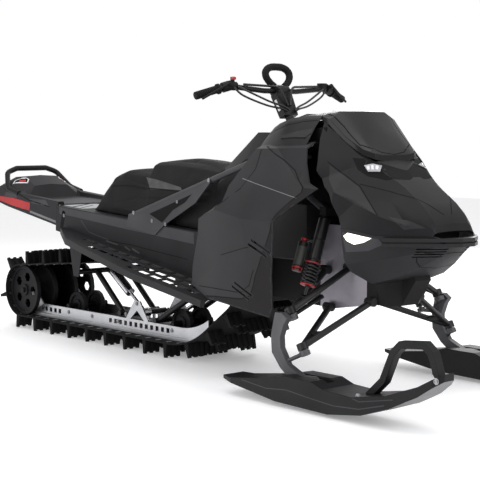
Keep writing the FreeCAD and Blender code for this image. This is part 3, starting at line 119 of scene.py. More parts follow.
# finishes, one for each slot of the record and then the trims: dark and light shade, roughness range,
# grains per metre, relief, and what some add
finishSet = {
    "track_rubber": ((.004, .004, .004), (.011, .011, .011), (.62, .85), 260, .25, {"gloss": .14}),
    "bare_aluminium": ((.42, .43, .45), (.66, .66, .68), (.28, .45), 420, .05, {"metal": 1.0}),
    "black_plastic": ((.004, .004, .005), (.011, .011, .012), (.45, .62), 700, .10, {"gloss": .16}),
    "black_steel": ((.005, .005, .006), (.012, .012, .013), (.30, .46), 500, .05, {"gloss": .28}),
    "silver_damper": ((.50, .50, .53), (.74, .74, .77), (.16, .28), 300, .03, {"metal": 1.0}),
    "tunnel_paint": ((.011, .011, .012), (.018, .018, .020), (.40, .54), 600, .05, {"gloss": .16}),
    "board_paint": ((.012, .012, .013), (.020, .020, .022), (.42, .56), 600, .06, {"gloss": .16}),
    "cast_silver": ((.30, .28, .32), (.46, .44, .49), (.42, .60), 520, .22, {"metal": .5}),
    "engine_block": ((.008, .008, .009), (.018, .018, .019), (.50, .68), 340, .25, {}),
    "strut_grey": ((.030, .030, .033), (.046, .046, .050), (.36, .50), 520, .04, {"gloss": .25}),
    "shock_black": ((.005, .005, .006), (.012, .012, .013), (.24, .38), 420, .04, {"gloss": .35}),
    "body_graphite": ((.0115, .0110, .0125), (.0175, .0168, .0190), (.38, .50), 900, .06, {"gloss": .20}),
    "red_lens": ((.26, .006, .008), (.40, .012, .015), (.10, .20), 220, .10, {"coat": .15}),
    "body_black": ((.0065, .0062, .0070), (.0115, .0108, .0122), (.30, .42), 900, .05, {"gloss": .16}),
    "clear_lens": ((.16, .16, .18), (.40, .40, .43), (.06, .14), 120, .15, {"coat": .8}),
    "warm_lens": ((.95, .84, .66), (1.0, .93, .80), (.08, .16), 120, .10, {"coat": .6, "glow": 1.6}),
    "gloss_black": ((.0055, .0055, .0065), (.0100, .0100, .0115), (.14, .22), 260, .02, {"gloss": .22}),
    "gauge_black": ((.006, .006, .007), (.010, .010, .011), (.10, .20), 260, .02, {"coat": .5}),
    "seat_cover": ((.0055, .0055, .0060), (.0125, .0125, .0135), (.58, .76), 1100, .30, {"gloss": .14}),
    "grip_rubber": ((.004, .004, .004), (.010, .010, .010), (.60, .80), 900, .25, {"gloss": .16}),
    "cable_black": ((.005, .005, .006), (.010, .010, .011), (.36, .50), 900, .06, {}),
    "cast_grey": ((.050, .050, .055), (.088, .088, .094), (.42, .58), 480, .20, {"metal": .35}),
    "ski_plastic": ((.0065, .0065, .0070), (.0125, .0125, .0135), (.36, .52), 800, .08, {"gloss": .16}),
    "runner_steel": ((.34, .34, .36), (.50, .50, .52), (.28, .42), 500, .08, {"metal": 1.0}),
    # the dark of real seams and joints, also used as painted shade in creases, folds, recesses, openings,
    # behind the body's gaps and along the foot of the slide rails
    "seamDark": ((.0012, .0012, .0013), (.0030, .0030, .0033), (.60, .75), 500, .05, {"gloss": .15}),
    # a lighter grey for bands and plates; on the tunnel's crease and two tail facets it is painted
    # highlight
    "bandGrey": ((.032, .032, .036), (.046, .046, .051), (.42, .54), 600, .04, {"gloss": .22}),
    # a light grey for thin lines; along the tail cover's lower edge and under the ski tips it is painted
    # highlight
    "lineGrey": ((.10, .10, .105), (.15, .15, .155), (.45, .55), 600, .02, {}),
    "archBrown": ((.0090, .0080, .0088), (.0140, .0125, .0135), (.46, .60), 900, .08, {"gloss": .12}),
    # the body's graphite made a little lighter; on hood and shroud facets it is painted highlight
    "facetGrey": ((.0150, .0150, .0160), (.0210, .0210, .0225), (.34, .46), 900, .05, {"gloss": .20}),
    "patchWhite": ((.55, .55, .57), (.78, .78, .80), (.40, .55), 600, .03, {}),
    "patchRed": ((.24, .006, .008), (.38, .012, .015), (.30, .42), 600, .04, {}),
    "oliveGrey": ((.030, .031, .027), (.050, .052, .045), (.34, .48), 520, .06, {}),
    "seatMottle": ((.018, .018, .019), (.062, .062, .064), (.55, .70), 900, .20, {"blotch": 22.0}),
    "boltSteel": ((.20, .20, .21), (.40, .40, .42), (.25, .40), 700, .03, {"metal": 1.0})}


def makeFinish(name, dark, light, roughness, grainScale, relief, extra):
    material = bpy.data.materials.new(name)
    material.use_nodes = True
    nodes = material.node_tree.nodes
    shader = nodes["Principled BSDF"]
    place = nodes.new("ShaderNodeTexCoord")
    blotch = setInputs(nodes.new("ShaderNodeTexNoise"), {"Scale": extra.get("blotch", 7.0), "Detail": 6.0})
    spread = setInputs(nodes.new("ShaderNodeMapRange"), {"From Min": 0.25, "From Max": 0.75})
    grain = setInputs(nodes.new("ShaderNodeTexNoise"), {"Scale": grainScale, "Detail": 3.0})
    shade = nodes.new("ShaderNodeMix")
    shade.data_type = "RGBA"
    setInputs(shade, {"A": (*dark, 1.0), "B": (*light, 1.0)})
    rough = setInputs(nodes.new("ShaderNodeMapRange"), {"To Min": roughness[0], "To Max": roughness[1]})
    bump = setInputs(nodes.new("ShaderNodeBump"), {"Strength": relief, "Distance": 0.001})
    wire(material.node_tree, (place, "Object", blotch, "Vector"), (place, "Object", grain, "Vector"),
         (blotch, "Fac", spread, "Value"), (spread, "Result", shade, "Factor"),
         (shade, "Result", shader, "Base Color"), (blotch, "Fac", rough, "Value"),
         (rough, "Result", shader, "Roughness"), (grain, "Fac", bump, "Height"),
         (bump, "Normal", shader, "Normal"))
    setInputs(shader, {"Metallic": extra.get("metal", 0.0), "Specular IOR Level": extra.get("gloss", 0.5),
                       "Coat Weight": extra.get("coat", 0.0)})
    if "glow" in extra:
        setInputs(shader, {"Emission Color": (*light, 1.0), "Emission Strength": extra["glow"]})
    return material


floorHalf = 12.0  # metres


def makeFloor():
    mesh = bpy.data.meshes.new("studioFloor")
    corners = [(x * floorHalf, y * floorHalf, 0) for x, y in ((-1, -1), (1, -1), (1, 1), (-1, 1))]
    mesh.from_pydata(corners, [], [(0, 1, 2, 3)])
    mesh.materials.append(makeFinish("paleFloor", (.86, .86, .87), (.90, .90, .91), (.6, .7), 60, .02,
                                     {"glow": .26}))
    newObject("studioFloor", mesh)


makeCamera()
makeLights()
makeFloor()
finishes = {name: makeFinish(name, *entry) for name, entry in finishSet.items()}
slotOf = {row["node"]: row["material_slot"] for row in frame["record"]["subparts"]}
bodyOf = {node: body for body, nodes in frame["record"]["behaviour"]["bodies"].items() for node in nodes}
for nodeName, slotName in slotOf.items():
    data = frame["nodes"][nodeName].data
    data.materials.clear()
    data.materials.append(finishes[slotName])
print("finishes set")

wholeShift = 20.0  # the machine's drawing stands this far behind its own middle, mm


def at(x, y, z):
    return Vector(((x + wholeShift) / 1000, y / 1000, z / 1000))


def addPiece(name, mesh, slotName, body="root", hides=(), finish=None):
    piece = newObject(name, mesh)
    mesh.materials.clear()
    mesh.materials.append(finishes[finish or slotName])
    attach(piece, body)
    if hides:
        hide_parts(*hides)


def plainMesh(name, work):
    mesh = bpy.data.meshes.new(name)
    work.to_mesh(mesh)
    work.free()
    return mesh


def bakedMesh(piece):
    bpy.context.view_layer.update()
    mesh = bpy.data.meshes.new_from_object(piece.evaluated_get(bpy.context.evaluated_depsgraph_get()))
    piece.modifiers.clear()
    return mesh


def joinMeshes(name, meshes):
    work = bmesh.new()
    for mesh in meshes:
        work.from_mesh(mesh)
    return plainMesh(name, work)


def mirroredMesh(mesh):
    work = bmesh.new()
    work.from_mesh(mesh)
    for vert in work.verts:
        vert.co.y = -vert.co.y
    bmesh.ops.reverse_faces(work, faces=work.faces)
    return plainMesh(mesh.name + "Left", work)


def addPair(name, meshes, *looks, **more):
    # meshes of one side and their mirror images, as one piece
    addPiece(name, joinMeshes(name, meshes + [mirroredMesh(mesh) for mesh in meshes]), *looks, **more)


def ringMesh(name, rings, closed=False):
    # a skin over rings of points, with a face at each end unless the rings come round again
    work = bmesh.new()
    rings = [[work.verts.new(point) for point in ring] for ring in rings]
    for ring, following in zip(rings, rings[1:] + (rings[:1] if closed else [])):
        for index in range(len(ring)):
            beside = (index + 1) % len(ring)
            work.faces.new((ring[index], ring[beside], following[beside], following[index]))
    if not closed:
        work.faces.new(rings[0][::-1])
        work.faces.new(rings[-1])
    bmesh.ops.recalc_face_normals(work, faces=work.faces)
    return plainMesh(name, work)


def smoothed(mesh, sharpAngle):
    mesh.shade_smooth()
    mesh.set_sharp_from_angle(angle=math.radians(sharpAngle))
    return mesh


def softened(name, mesh, width, edgeAngle):
    # rounds the crisp edges of a mesh and lets its broad faces carry the shading
    temp = newObject(name, smoothed(mesh, 62))
    edges = temp.modifiers.new("edges", "BEVEL")
    edges.width = width / 1000
    edges.segments = 2
    edges.limit_method = "ANGLE"
    edges.angle_limit = math.radians(edgeAngle)
    temp.modifiers.new("weights", "WEIGHTED_NORMAL").keep_sharp = True
    result = bakedMesh(temp)
    bpy.data.objects.remove(temp)
    return result


def nodeShape(nodeName, merge):
    work = bmesh.new()
    work.from_mesh(frame["nodes"][nodeName].data)
    bmesh.ops.remove_doubles(work, verts=work.verts, dist=merge / 1000)
    bmesh.ops.dissolve_limit(work, angle_limit=math.radians(1.2), verts=work.verts, edges=work.edges)
    return plainMesh(nodeName + "Shape", work)


# nodes that keep their CAD shape and get rounded edges: bevel in mm, edges past this angle,
# merge distance in mm
tubeEdges = (1.2, 42, .1)
dressSet = {
    "hood": (2.2, 17, .3), "nose_pan": (1.8, 20, .3), "windshield": (2.5, 22, .3),
    "pod_shroud": (2.5, 18, .3), "console": (3.0, 24, .3), "side_panel_left": (2.5, 18, .3),
    "side_panel_right": (2.5, 18, .3), "tail_cover": (2.2, 20, .3), "front_bumper": (2.0, 30, .2),
    "gauge": (3.0, 30, .1), "tunnel": (1.5, 30, .1), "running_board_left": (1.2, 40, .1),
    "running_board_right": (1.2, 40, .1), "slide_rails": (1.0, 40, .1), "frame_struts": (1.5, 42, .1),
    "upper_arms": tubeEdges, "lower_arms": tubeEdges, "skid_arms": (1.0, 42, .1),
    "skid_dampers": tubeEdges, "rear_axle": tubeEdges, "idler_wheels": tubeEdges, "drive_axle": tubeEdges,
    "grab_hoop": (1.0, 46, .1), "cargo_anchors": tubeEdges, "headlamps": (2.0, 25, .1),
    "lower_lamps": (1.5, 25, .1), "tail_lamps": (1.2, 25, .1), "engine": (6.0, 30, .1),
    "steering_post": (2.5, 40, .1), "handlebar": (1.0, 46, .1), "brake_unit": (1.5, 42, .1),
    "throttle_unit": (1.5, 42, .1)}
for side in ("left", "right"):
    dressSet["spindle_" + side] = (2.5, 30, .1)
    dressSet["tie_rod_" + side] = (1.0, 42, .1)
    dressSet["ski_" + side] = (3.0, 14, .1)
    dressSet["ski_loop_" + side] = (8.0, 30, .1)
    dressSet["ski_runner_" + side] = (1.0, 30, .1)

# housings that stay dark around the lens laid on them later
housingSet = {"headlamps": "seamDark", "lower_lamps": "facetGrey"}


def dressNodes():
    for nodeName, (width, edgeAngle, merge) in dressSet.items():
        mesh = softened(nodeName + "Soft", nodeShape(nodeName, merge), width, edgeAngle)
        addPiece(nodeName + "Dressed", mesh, slotOf[nodeName], bodyOf[nodeName], (nodeName,),
                 housingSet.get(nodeName))


dressNodes()
print("nodes dressed:", len(dressSet))


# shapes that are repeated are set out by one tree of nodes
def makeRepeatTree():
    tree = bpy.data.node_groups.new("repeatAtPoints", "GeometryNodeTree")
    for label, way, kind in (("Geometry", "INPUT", "Geometry"), ("Shape", "INPUT", "Object"),
                             ("Geometry", "OUTPUT", "Geometry")):
        tree.interface.new_socket(label, in_out=way, socket_type="NodeSocket" + kind)
    given, shape, turn, toTurn, spread, real, out = [tree.nodes.new(kind) for kind in (
        "NodeGroupInput", "GeometryNodeObjectInfo", "GeometryNodeInputNamedAttribute",
        "FunctionNodeEulerToRotation", "GeometryNodeInstanceOnPoints", "GeometryNodeRealizeInstances",
        "NodeGroupOutput")]
    turn.data_type = "FLOAT_VECTOR"
    turn.inputs["Name"].default_value = "turn"
    wire(tree, (given, "Geometry", spread, "Points"), (given, "Shape", shape, "Object"),
         (shape, "Geometry", spread, "Instance"), (turn, "Attribute", toTurn, "Euler"),
         (toTurn, "Rotation", spread, "Rotation"), (spread, "Instances", real, "Geometry"),
         (real, "Geometry", out, "Geometry"))
    return tree


repeatTree = makeRepeatTree()
shapeSocket = next(item.identifier for item in repeatTree.interface.items_tree if item.name == "Shape")


def repeatedMesh(name, shapeMesh, places):
    points = bpy.data.meshes.new(name + "Points")
    points.from_pydata([tuple(point) for point, turn in places], [], [])
    turns = points.attributes.new("turn", "FLOAT_VECTOR", "POINT")
    for index, (point, turn) in enumerate(places):
        turns.data[index].vector = turn
    shape = newObject(name + "Shape", shapeMesh)
    holder = newObject(name + "Holder", points)
    grid = holder.modifiers.new("repeat", "NODES")
    grid.node_group = repeatTree
    grid[shapeSocket] = shape
    mesh = bakedMesh(holder)
    bpy.data.objects.remove(holder)
    bpy.data.objects.remove(shape)
    return mesh


def aimTurn(direction):
    return tuple(Vector(direction).to_track_quat("Z", "Y").to_euler())


# track: belt with ribbed lugs, each row set out along the loop
trackSet = {
    "rearAxle": (-1430, 197, 127), "railNose": (-215, 500, 430), "driveAxle": (118, 352, 113),
    "belt": 6.0, "halfWidth": 203.0, "rows": 52, "lugHeight": 64.0, "lugBase": 26.0, "lugTip": 12.0,
    "ribPitch": 32.0, "ribWidth": 17.0, "webShare": .62, "webDrop": 6.0, "ribInset": 1.5, "webLap": 1.0,
    "beltSteps": 208, "middleLug": (-99.6, 99.6), "outerLug": (111.6, 199),
    "clipRows": (-172, -122, 122, 172), "clipHalf": (7, 13), "clipRise": (5.4, 7.8)}


def loopRuns():
    circles = [trackSet["rearAxle"], trackSet["railNose"], trackSet["driveAxle"]]
    headings = []
    for index, (x, z, radius) in enumerate(circles):
        nextX, nextZ, nextRadius = circles[(index + 1) % 3]
        span = math.hypot(nextX - x, nextZ - z)
        headings.append(math.atan2(nextZ - z, nextX - x) + math.asin((radius - nextRadius) / span))
    runs = []
    for index, (x, z, radius) in enumerate(circles):
        arriving, leaving = headings[index - 1], headings[index]
        if leaving < arriving:
            leaving += 2 * math.pi
        nextX, nextZ, nextRadius = circles[(index + 1) % 3]
        reach, nextReach = radius + trackSet["belt"], nextRadius + trackSet["belt"]
        start = (x + reach * math.sin(leaving), z - reach * math.cos(leaving))
        end = (nextX + nextReach * math.sin(leaving), nextZ - nextReach * math.cos(leaving))
        runs.append(("arc", (x, z, reach), arriving, leaving, reach * (leaving - arriving)))
        runs.append(("line", start, end, leaving, math.dist(start, end)))
    return runs


def loopStations(count):
    runs = loopRuns()
    pitch = sum(run[4] for run in runs) / count
    stations, passed = [], 0.0
    for run in runs:
        while len(stations) < count and len(stations) * pitch < passed + run[4]:
            share = (len(stations) * pitch - passed) / run[4]
            if run[0] == "arc":
                x, z, reach = run[1]
                heading = run[2] + (run[3] - run[2]) * share
                stations.append((x + reach * math.sin(heading), z - reach * math.cos(heading), heading))
            else:
                (startX, startZ), (endX, endZ) = run[1], run[2]
                stations.append(
                    (startX + (endX - startX) * share, startZ + (endZ - startZ) * share, run[3]))
        passed += run[4]
    return stations


def lugShape(low, high):
    # thick ribs with thinner webs between them
    ribWidth, thinner, deepest = trackSet["ribWidth"], trackSet["webShare"], -trackSet["lugHeight"]
    count = max(1, round((high - low - ribWidth) / trackSet["ribPitch"]))
    pitch = (high - low - ribWidth) / count
    inset, lap = trackSet["ribInset"], trackSet["webLap"]
    rings = []
    for index in range(count + 1):
        start = low + index * pitch
        spans = [(start + inset, start + ribWidth - inset, 1.0, 0.0)]
        if index < count:
            spans.append((start + ribWidth - lap, start + pitch + lap, thinner, trackSet["webDrop"]))
        for first, last, share, drop in spans:
            base, tip = trackSet["lugBase"] / 2 * share, trackSet["lugTip"] / 2 * share
            corners = [(-base, 0), (base, 0), (tip, deepest + drop), (-tip, deepest + drop)]
            rings += [[Vector((x, y, z)) / 1000 for x, z in corners] for y in (first, last)]
    return ringMesh("lug", rings)


def beltMesh():
    thick, half = trackSet["belt"], trackSet["halfWidth"]
    edge = [(0, -half), (0, half), (-thick, half), (-thick, -half)]
    rings = []
    for x, z, heading in loopStations(trackSet["beltSteps"]):
        out = Vector((math.sin(heading), 0, -math.cos(heading)))
        rings.append([at(x, y, z) + out * (step / 1000) for step, y in edge])
    return ringMesh("belt", rings, closed=True)


def makeTrackPieces():
    stations = loopStations(trackSet["rows"])
    middle, outer = [], []
    for index, (x, z, heading) in enumerate(stations):
        (outer if index % 2 else middle).append((at(x, 0, z), (0, -heading, 0)))
    low, high = trackSet["outerLug"]
    meshes = [beltMesh(), repeatedMesh("middleLugs", lugShape(*trackSet["middleLug"]), middle),
              repeatedMesh("outerLugs", lugShape(low, high), outer),
              repeatedMesh("outerLugs", lugShape(-high, -low), outer)]
    addPiece("trackLoop", joinMeshes("trackLoop", meshes), "track_rubber", "root", ("track",))
    clips = [(at(x, y, z), (0, -heading, 0)) for x, z, heading in stations for y in trackSet["clipRows"]]
    halfLong, halfWide = trackSet["clipHalf"]
    corners = [(-halfLong, -halfWide), (halfLong, -halfWide), (halfLong, halfWide), (-halfLong, halfWide)]
    clip = ringMesh("clip", [[Vector((x, y, z)) / 1000 for x, y in corners] for z in trackSet["clipRise"]])
    addPiece("trackClips", repeatedMesh("trackClips", clip, clips), "bare_aluminium", finish="boltSteel")


makeTrackPieces()
print("track set out")


def circlePoints(middle, across, beside, reach, sides):
    return [middle + (across * math.cos(turn) + beside * math.sin(turn)) * reach
            for turn in [2 * math.pi * index / sides for index in range(sides)]]


def turnedMesh(name, start, end, profile, sides=28):
    # a turned form: profile gives (share of the way, radius in mm)
    span = end - start
    unit = span.normalized()
    across = unit.orthogonal().normalized()
    beside = unit.cross(across)
    rings = [circlePoints(start + span * share, across, beside, radius / 1000, sides)
             for share, radius in profile]
    return smoothed(ringMesh(name, rings), 35)


def sweptMesh(name, points, radius, sides=16):
    # a round bar along closely set points; radius in mm, or one for each point
    rings, across = [], None
    for index, point in enumerate(points):
        before, after = points[max(index - 1, 0)], points[min(index + 1, len(points) - 1)]
        heading = (after - before).normalized()
        across = across - heading * across.dot(heading) if across else heading.orthogonal()
        across.normalize()
        reach = (radius[index] if isinstance(radius, list) else radius) / 1000
        rings.append(circlePoints(point, across, heading.cross(across), reach, sides))
    return smoothed(ringMesh(name, rings), 50)


def smoothLine(points, steps=8):
    # rounds a route through its points
    line = []
    for index in range(len(points) - 1):
        a, b = points[max(index - 1, 0)], points[index]
        c, d = points[index + 1], points[min(index + 2, len(points) - 1)]
        for step in range(steps):
            t = step / steps
            line.append(b * 1.0 + (c - a) * (0.5 * t) + (a * 2 - b * 5 + c * 4 - d) * (0.5 * t * t)
                        + (b * 3 - a - c * 3 + d) * (0.5 * t * t * t))
    return line + [points[-1]]


# trims that lie on the panels: each is cast onto its host along the outward direction
def hostTree(hosts):
    work = bmesh.new()
    for host in hosts:
        work.from_mesh(host if isinstance(host, bpy.types.Mesh) else frame["nodes"][host].data)
    tree = BVHTree.FromBMesh(work)
    work.free()
    return tree


# how far a cast looks, how squarely a face must meet it, the length of a band's faces (metres)
castSet = {"reach": 0.08, "leastFacing": 0.15, "bandStep": 0.008}


def castOn(tree, point, outward, lift):
    reach = castSet["reach"]
    hit, normal, index, distance = tree.ray_cast(point + outward * reach, -outward, 2 * reach)
    if hit is None or normal.dot(outward) < castSet["leastFacing"]:
        return None
    return hit + normal * (lift / 1000)


def faceOut(face, outward):
    face.normal_update()
    if face.normal.dot(outward) < 0:
        face.normal_flip()


def bandMesh(name, hosts, route, width, outward, lift):
    tree = hostTree(hosts)
    outward = Vector(outward).normalized()
    points = [at(*point) for point in route]
    work = bmesh.new()
    for start, end in zip(points, points[1:]):
        count = max(1, math.ceil((end - start).length / castSet["bandStep"]))
        aside = (end - start).cross(outward).normalized() * (width / 2000)
        extra = (end - start).normalized() * (width / 2400)
        rows = []
        for step in range(count + 1):
            middle = start + (end - start) * (step / count)
            middle += extra * (-1 if step == 0 else 1 if step == count else 0)
            pair = [castOn(tree, middle + aside, outward, lift),
                castOn(tree, middle - aside, outward, lift)]
            rows.append(pair if all(pair) else None)
        for row, following in zip(rows, rows[1:]):
            if row and following:
                faceOut(work.faces.new([work.verts.new(point) for point in row + following[::-1]]), outward)
    bmesh.ops.remove_doubles(work, verts=work.verts, dist=weld)
    return plainMesh(name, work)


def patchMesh(name, hosts, outline, outward, lift, step=0.007):
    tree = hostTree(hosts)
    outward = Vector(outward).normalized()
    points = [at(*point) for point in outline]
    middle = sum(points, Vector()) / len(points)
    flat = [point - outward * (point - middle).dot(outward) for point in points]
    work = bmesh.new()
    work.faces.new([work.verts.new(point) for point in flat])
    across = outward.orthogonal().normalized()
    for axis in (across, outward.cross(across)):
        reach = [(point - middle).dot(axis) for point in flat]
        place = min(reach) + step
        while place < max(reach):
            bmesh.ops.bisect_plane(work, geom=work.verts[:] + work.edges[:] + work.faces[:], dist=weld,
                                   plane_co=middle + axis * place, plane_no=axis)
            place += step
    lost = []
    for vert in work.verts:
        spot = castOn(tree, vert.co, outward, lift)
        if spot:
            vert.co = spot
        else:
            lost.append(vert)
    bmesh.ops.delete(work, geom=lost, context="VERTS")
    for face in work.faces:
        faceOut(face, outward)
        face.smooth = True
    return plainMesh(name, work)


flank, topOut, browOut = (0, -1, 0), (0, 0, 1), (.6, -.55, .6)
# where trims lie: their hosts, and the outward direction they are cast along
panelSide, tailSide = (["side_panel_right"], (0, -1, .25)), (["tail_cover"], (0, -1, .3))
tunnelSide, strutSide = (["tunnel"], flank), (["frame_struts"], flank)
tunnelTop, tailTop = (["tunnel"], topOut), (["tail_cover"], topOut)
hoodBrow, hoodSide = (["hood"], browOut), (["hood"], (.3, -.8, .5))
panSide = (["nose_pan", "lower_lamps"], (.5, -.85, 0))
shroudSide, shroudBrow = (["pod_shroud"], (0, -.8, .6)), (["pod_shroud"], (0, -.5, .85))
# each trim: finish, place, width in mm (none for a filled patch), points in mm on the right-hand side
trimSet = {
    "panelSeam": ("seamDark", *panelSide, 4.0, [
        (500, -285, 952), (539, -290, 940), (656, -324, 898), (742, -344, 860), (810, -366, 797),
        (814, -380, 779), (761, -454, 701), (743, -472, 636), (689, -469, 531), (628, -459, 403),
        (607, -455, 378), (558, -453, 362), (330, -440, 352)]),
    "panelRearSeam": ("seamDark", *panelSide, 3.5, [
        (500, -300, 935), (547, -368, 860), (534, -431, 788), (420, -460, 720)]),
    "panelLowSeam": ("seamDark", *panelSide, 3.0, [
        (647, -469, 482), (616, -462, 421), (560, -453, 385), (280, -450, 392)]),
    # painted shade along the side panel's crease
    "panelCrease": ("seamDark", *panelSide, 2.4, [(655, -476, 574), (465, -474, 527)]),
    "pinLine": ("lineGrey", *panelSide, 2.6, [(505, -410, 826), (806, -395, 757)]),
    "archBand": ("archBrown", *panelSide, None, [
        (812, -366, 794), (857, -345, 790), (761, -480, 671), (726, -450, 345), (722, -440, 300),
        (350, -430, 330), (330, -440, 350), (558, -453, 360), (609, -455, 376), (630, -459, 402),
        (691, -469, 530), (745, -472, 636), (763, -454, 700), (816, -380, 779)]),
    "tunnelBand": ("bandGrey", *tunnelSide, None, [
        (-1040, -214, 640), (-15, -214, 573), (-15, -214, 524), (-503, -214, 562), (-892, -214, 596),
        (-1040, -214, 606)]),
    # painted highlight along the tunnel's crease
    "tunnelCrease": ("bandGrey", *tunnelSide, 4.0, [
        (-857, -214, 583), (-795, -214, 532), (-709, -214, 516), (-640, -214, 506)]),
    # painted shade along the tunnel's fold
    "tunnelFold": ("seamDark", *tunnelSide, 3.5, [(-640, -214, 500), (-470, -214, 492), (-60, -214, 455)]),
    "jointBar": ("seamDark", *tunnelSide, 26.0, [(-998, -214, 628), (-1028, -214, 524)]),
    "tunnelMarkA": ("oliveGrey", *tunnelSide, 7.0, [(-650, -214, 498), (-566, -214, 486)]),
    "tunnelMarkB": ("oliveGrey", *tunnelSide, 8.0, [(-506, -214, 480), (-472, -214, 466)]),
    "tunnelMarkC": ("oliveGrey", *tunnelSide, 8.0, [(-452, -214, 474), (-402, -214, 458)]),
    "reflectorDark": ("seamDark", *tailTop, None, [
        (-1544, -160, 736), (-1560, -137, 751), (-1513, -98, 763), (-1500, -95, 757), (-1482, -113, 741)]),
    "reflectorRim": ("patchWhite", *tailTop, 6.0, [
        (-1544, -160, 736), (-1560, -137, 751), (-1513, -98, 763), (-1500, -95, 757), (-1482, -113, 741),
        (-1544, -160, 736)]),
    "reflectorCore": ("patchRed", *tailTop, None, [
        (-1524, -140, 742), (-1532, -128, 752), (-1508, -108, 758), (-1495, -114, 746)]),
    # painted highlight: two facets of the tail cover made lighter
    "tailFacetForeHighlight": ("bandGrey", *tailSide, None, [
        (-1334, -199, 668), (-1182, -199, 667), (-1153, -200, 638), (-1304, -201, 645)]),
    "tailFacetRearHighlight": ("bandGrey", *tailSide, None, [
        (-1561, -202, 674), (-1549, -201, 696), (-1463, -199, 689), (-1440, -200, 666)]),
    # painted shade along the tail cover's fold
    "tailFold": ("seamDark", ["tail_cover"], (0, -1, .5), 5.0, [
        (-1542, -200, 702), (-1449, -198, 693), (-1340, -200, 662), (-1153, -200, 636)]),
    # painted shade: a dark band along the lower part of the slide rails
    "railWear": ("seamDark", ["slide_rails"], flank, 24.0, [(-1420, -122, 80), (-330, -122, 80)]),
    "strutEdge": ("bandGrey", *strutSide, 15.0, [(-452, -221, 628), (96, -221, 806)]),
    # painted shade: the opening in the strut plate is filled dark
    "strutHoleShade": ("seamDark", *strutSide, None, [
        (-318, -221, 640), (-20, -221, 738), (-68, -221, 700), (-150, -221, 664), (-226, -221, 606)]),
    # painted highlight along the lower edge of the tail cover
    "tailEdge": ("lineGrey", ["tail_cover"], flank, 11.0, [(-1596, -205, 652), (-1092, -205, 565)]),
    "windshieldLine": ("seamDark", ["windshield"], (.5, -.3, .8), 5.0, [
        (735, -160, 1064), (807, -147, 1024), (832, -146, 999), (885, -141, 954), (925, -60, 922),
        (935, 0, 918)]),
    # painted shade in the recess around the headlamps
    "lampRecessShade": ("seamDark", *hoodBrow, None, [
        (888, -184, 905), (926, -139, 899), (985, -26, 863), (996, 0, 858), (1046, 0, 822),
        (1037, -72, 824), (1015, -131, 823), (960, -176, 838), (923, -190, 861)]),
    "hoodSideSeam": ("seamDark", *hoodSide, 3.5, [(831, -257, 890), (959, -217, 801), (1071, -239, 695)]),
    # painted highlight: a facet of the hood made lighter
    "hoodFacet": ("facetGrey", *hoodSide, None, [
        (838, -256, 880), (955, -216, 797), (1062, -238, 700), (904, -299, 780), (862, -290, 832)]),
    "hoodBrowLine": ("seamDark", *hoodBrow, 3.5, [
        (954, -213, 810), (1051, -143, 781), (1159, -65, 737), (1205, -28, 705)]),
    "hoodSlash": ("facetGrey", *hoodBrow, None, [
        (1091, -213, 696), (1143, -168, 683), (1204, -128, 654), (1149, -185, 648)]),
    "lampPanel": ("bandGrey", *panSide, None, [
        (952, -303, 636), (1078, -246, 614), (1092, -229, 594), (1040, -258, 568), (961, -292, 561)]),
    "grilleLine": ("seamDark", ["nose_pan"], (1, 0, -.35), 3.2, [
        (1215, 0, 568), (1178, -145, 566), (1157, -124, 528), (1153, -99, 507), (1143, 0, 497)]),
    # painted highlight: a side facet and the top of the shroud made lighter
    "shroudFacet": ("facetGrey", *shroudSide, None, [
        (551, -237, 988), (718, -226, 1016), (727, -250, 981), (569, -246, 979)]),
    "shroudTop": ("facetGrey", *shroudBrow, None, [
        (452, -180, 1010), (625, -196, 1046), (728, -190, 1054), (728, -120, 1076), (600, -90, 1078),
        (470, -110, 1046)]),
    "shroudSlot": ("seamDark", *shroudSide, 7.0, [(566, -246, 975), (700, -250, 978), (727, -236, 1000)]),
    "shroudSeam": ("seamDark", *shroudBrow, 4.0, [(430, -190, 1000), (625, -206, 1040), (727, -200, 1050)]),
    "plateSilver": ("bare_aluminium", *tunnelTop, None, [
        (-1068, 0, 640), (-1068, -176, 640), (-905, -176, 630), (-905, 0, 630)]),
    "deckSlashA": ("seamDark", *tunnelTop, 12.0, [(-1062, -30, 640), (-985, -170, 634)]),
    "deckSlashB": ("seamDark", *tunnelTop, 7.0, [(-1010, -40, 637), (-925, -170, 631)]),
    "deckSilver": ("bandGrey", *tailTop, None, [
        (-1300, 0, 665), (-1300, -150, 665), (-1092, -150, 650), (-1092, 0, 650)])}
# these lie over other trims, so they stand higher (mm)
raisedTrims = ("reflectorCore", "reflectorRim", "lampPanel", "deckSlash", "tunnelMark", "strutHoleShade")
trimLift, raisedLift = 0.45, 0.9
trimSlots = {"seamDark": "body_black", "bandGrey": "tunnel_paint", "oliveGrey": "tunnel_paint",
             "patchWhite": "clear_lens", "patchRed": "red_lens", "bare_aluminium": "bare_aluminium"}


def makeTrims():
    byFinish = {}
    for name, (finishName, hosts, outward, width, points) in trimSet.items():
        lift = raisedLift if name.startswith(raisedTrims) else trimLift
        mesh = (bandMesh(name, hosts, points, width, outward, lift) if width
                else patchMesh(name, hosts, points, outward, lift))
        byFinish.setdefault(finishName, []).append(mesh)
    for finishName, meshes in byFinish.items():
        pieceName = "trim" + "".join(word[0].upper() + word[1:] for word in finishName.split("_"))
        addPair(pieceName, meshes, trimSlots.get(finishName, "body_graphite"), finish=finishName)


makeTrims()
print("trims laid on the panels:", len(trimSet))

# front shocks: turned body, coil spring, remote reservoir with red caps
shockSet = {
    "top": (778, 215, 684), "foot": (790.2, 335.5, 387.4), "bodyRadius": 23.5, "wire": 4.6,
    "coilRadius": 26.0, "turns": 7, "springStart": .585, "springEnd": .87,
    "reservoirTop": (-58, 22, 0), "branch": .34, "reservoirRadius": 20.5, "reservoirLength": 118,
    "coilSteps": 18, "collar": [(0, 29), (.2, 30.5), (.8, 30.5), (1, 29)],
    "knob": [(0, 9), (.2, 13), (.8, 14), (1, 12)]}


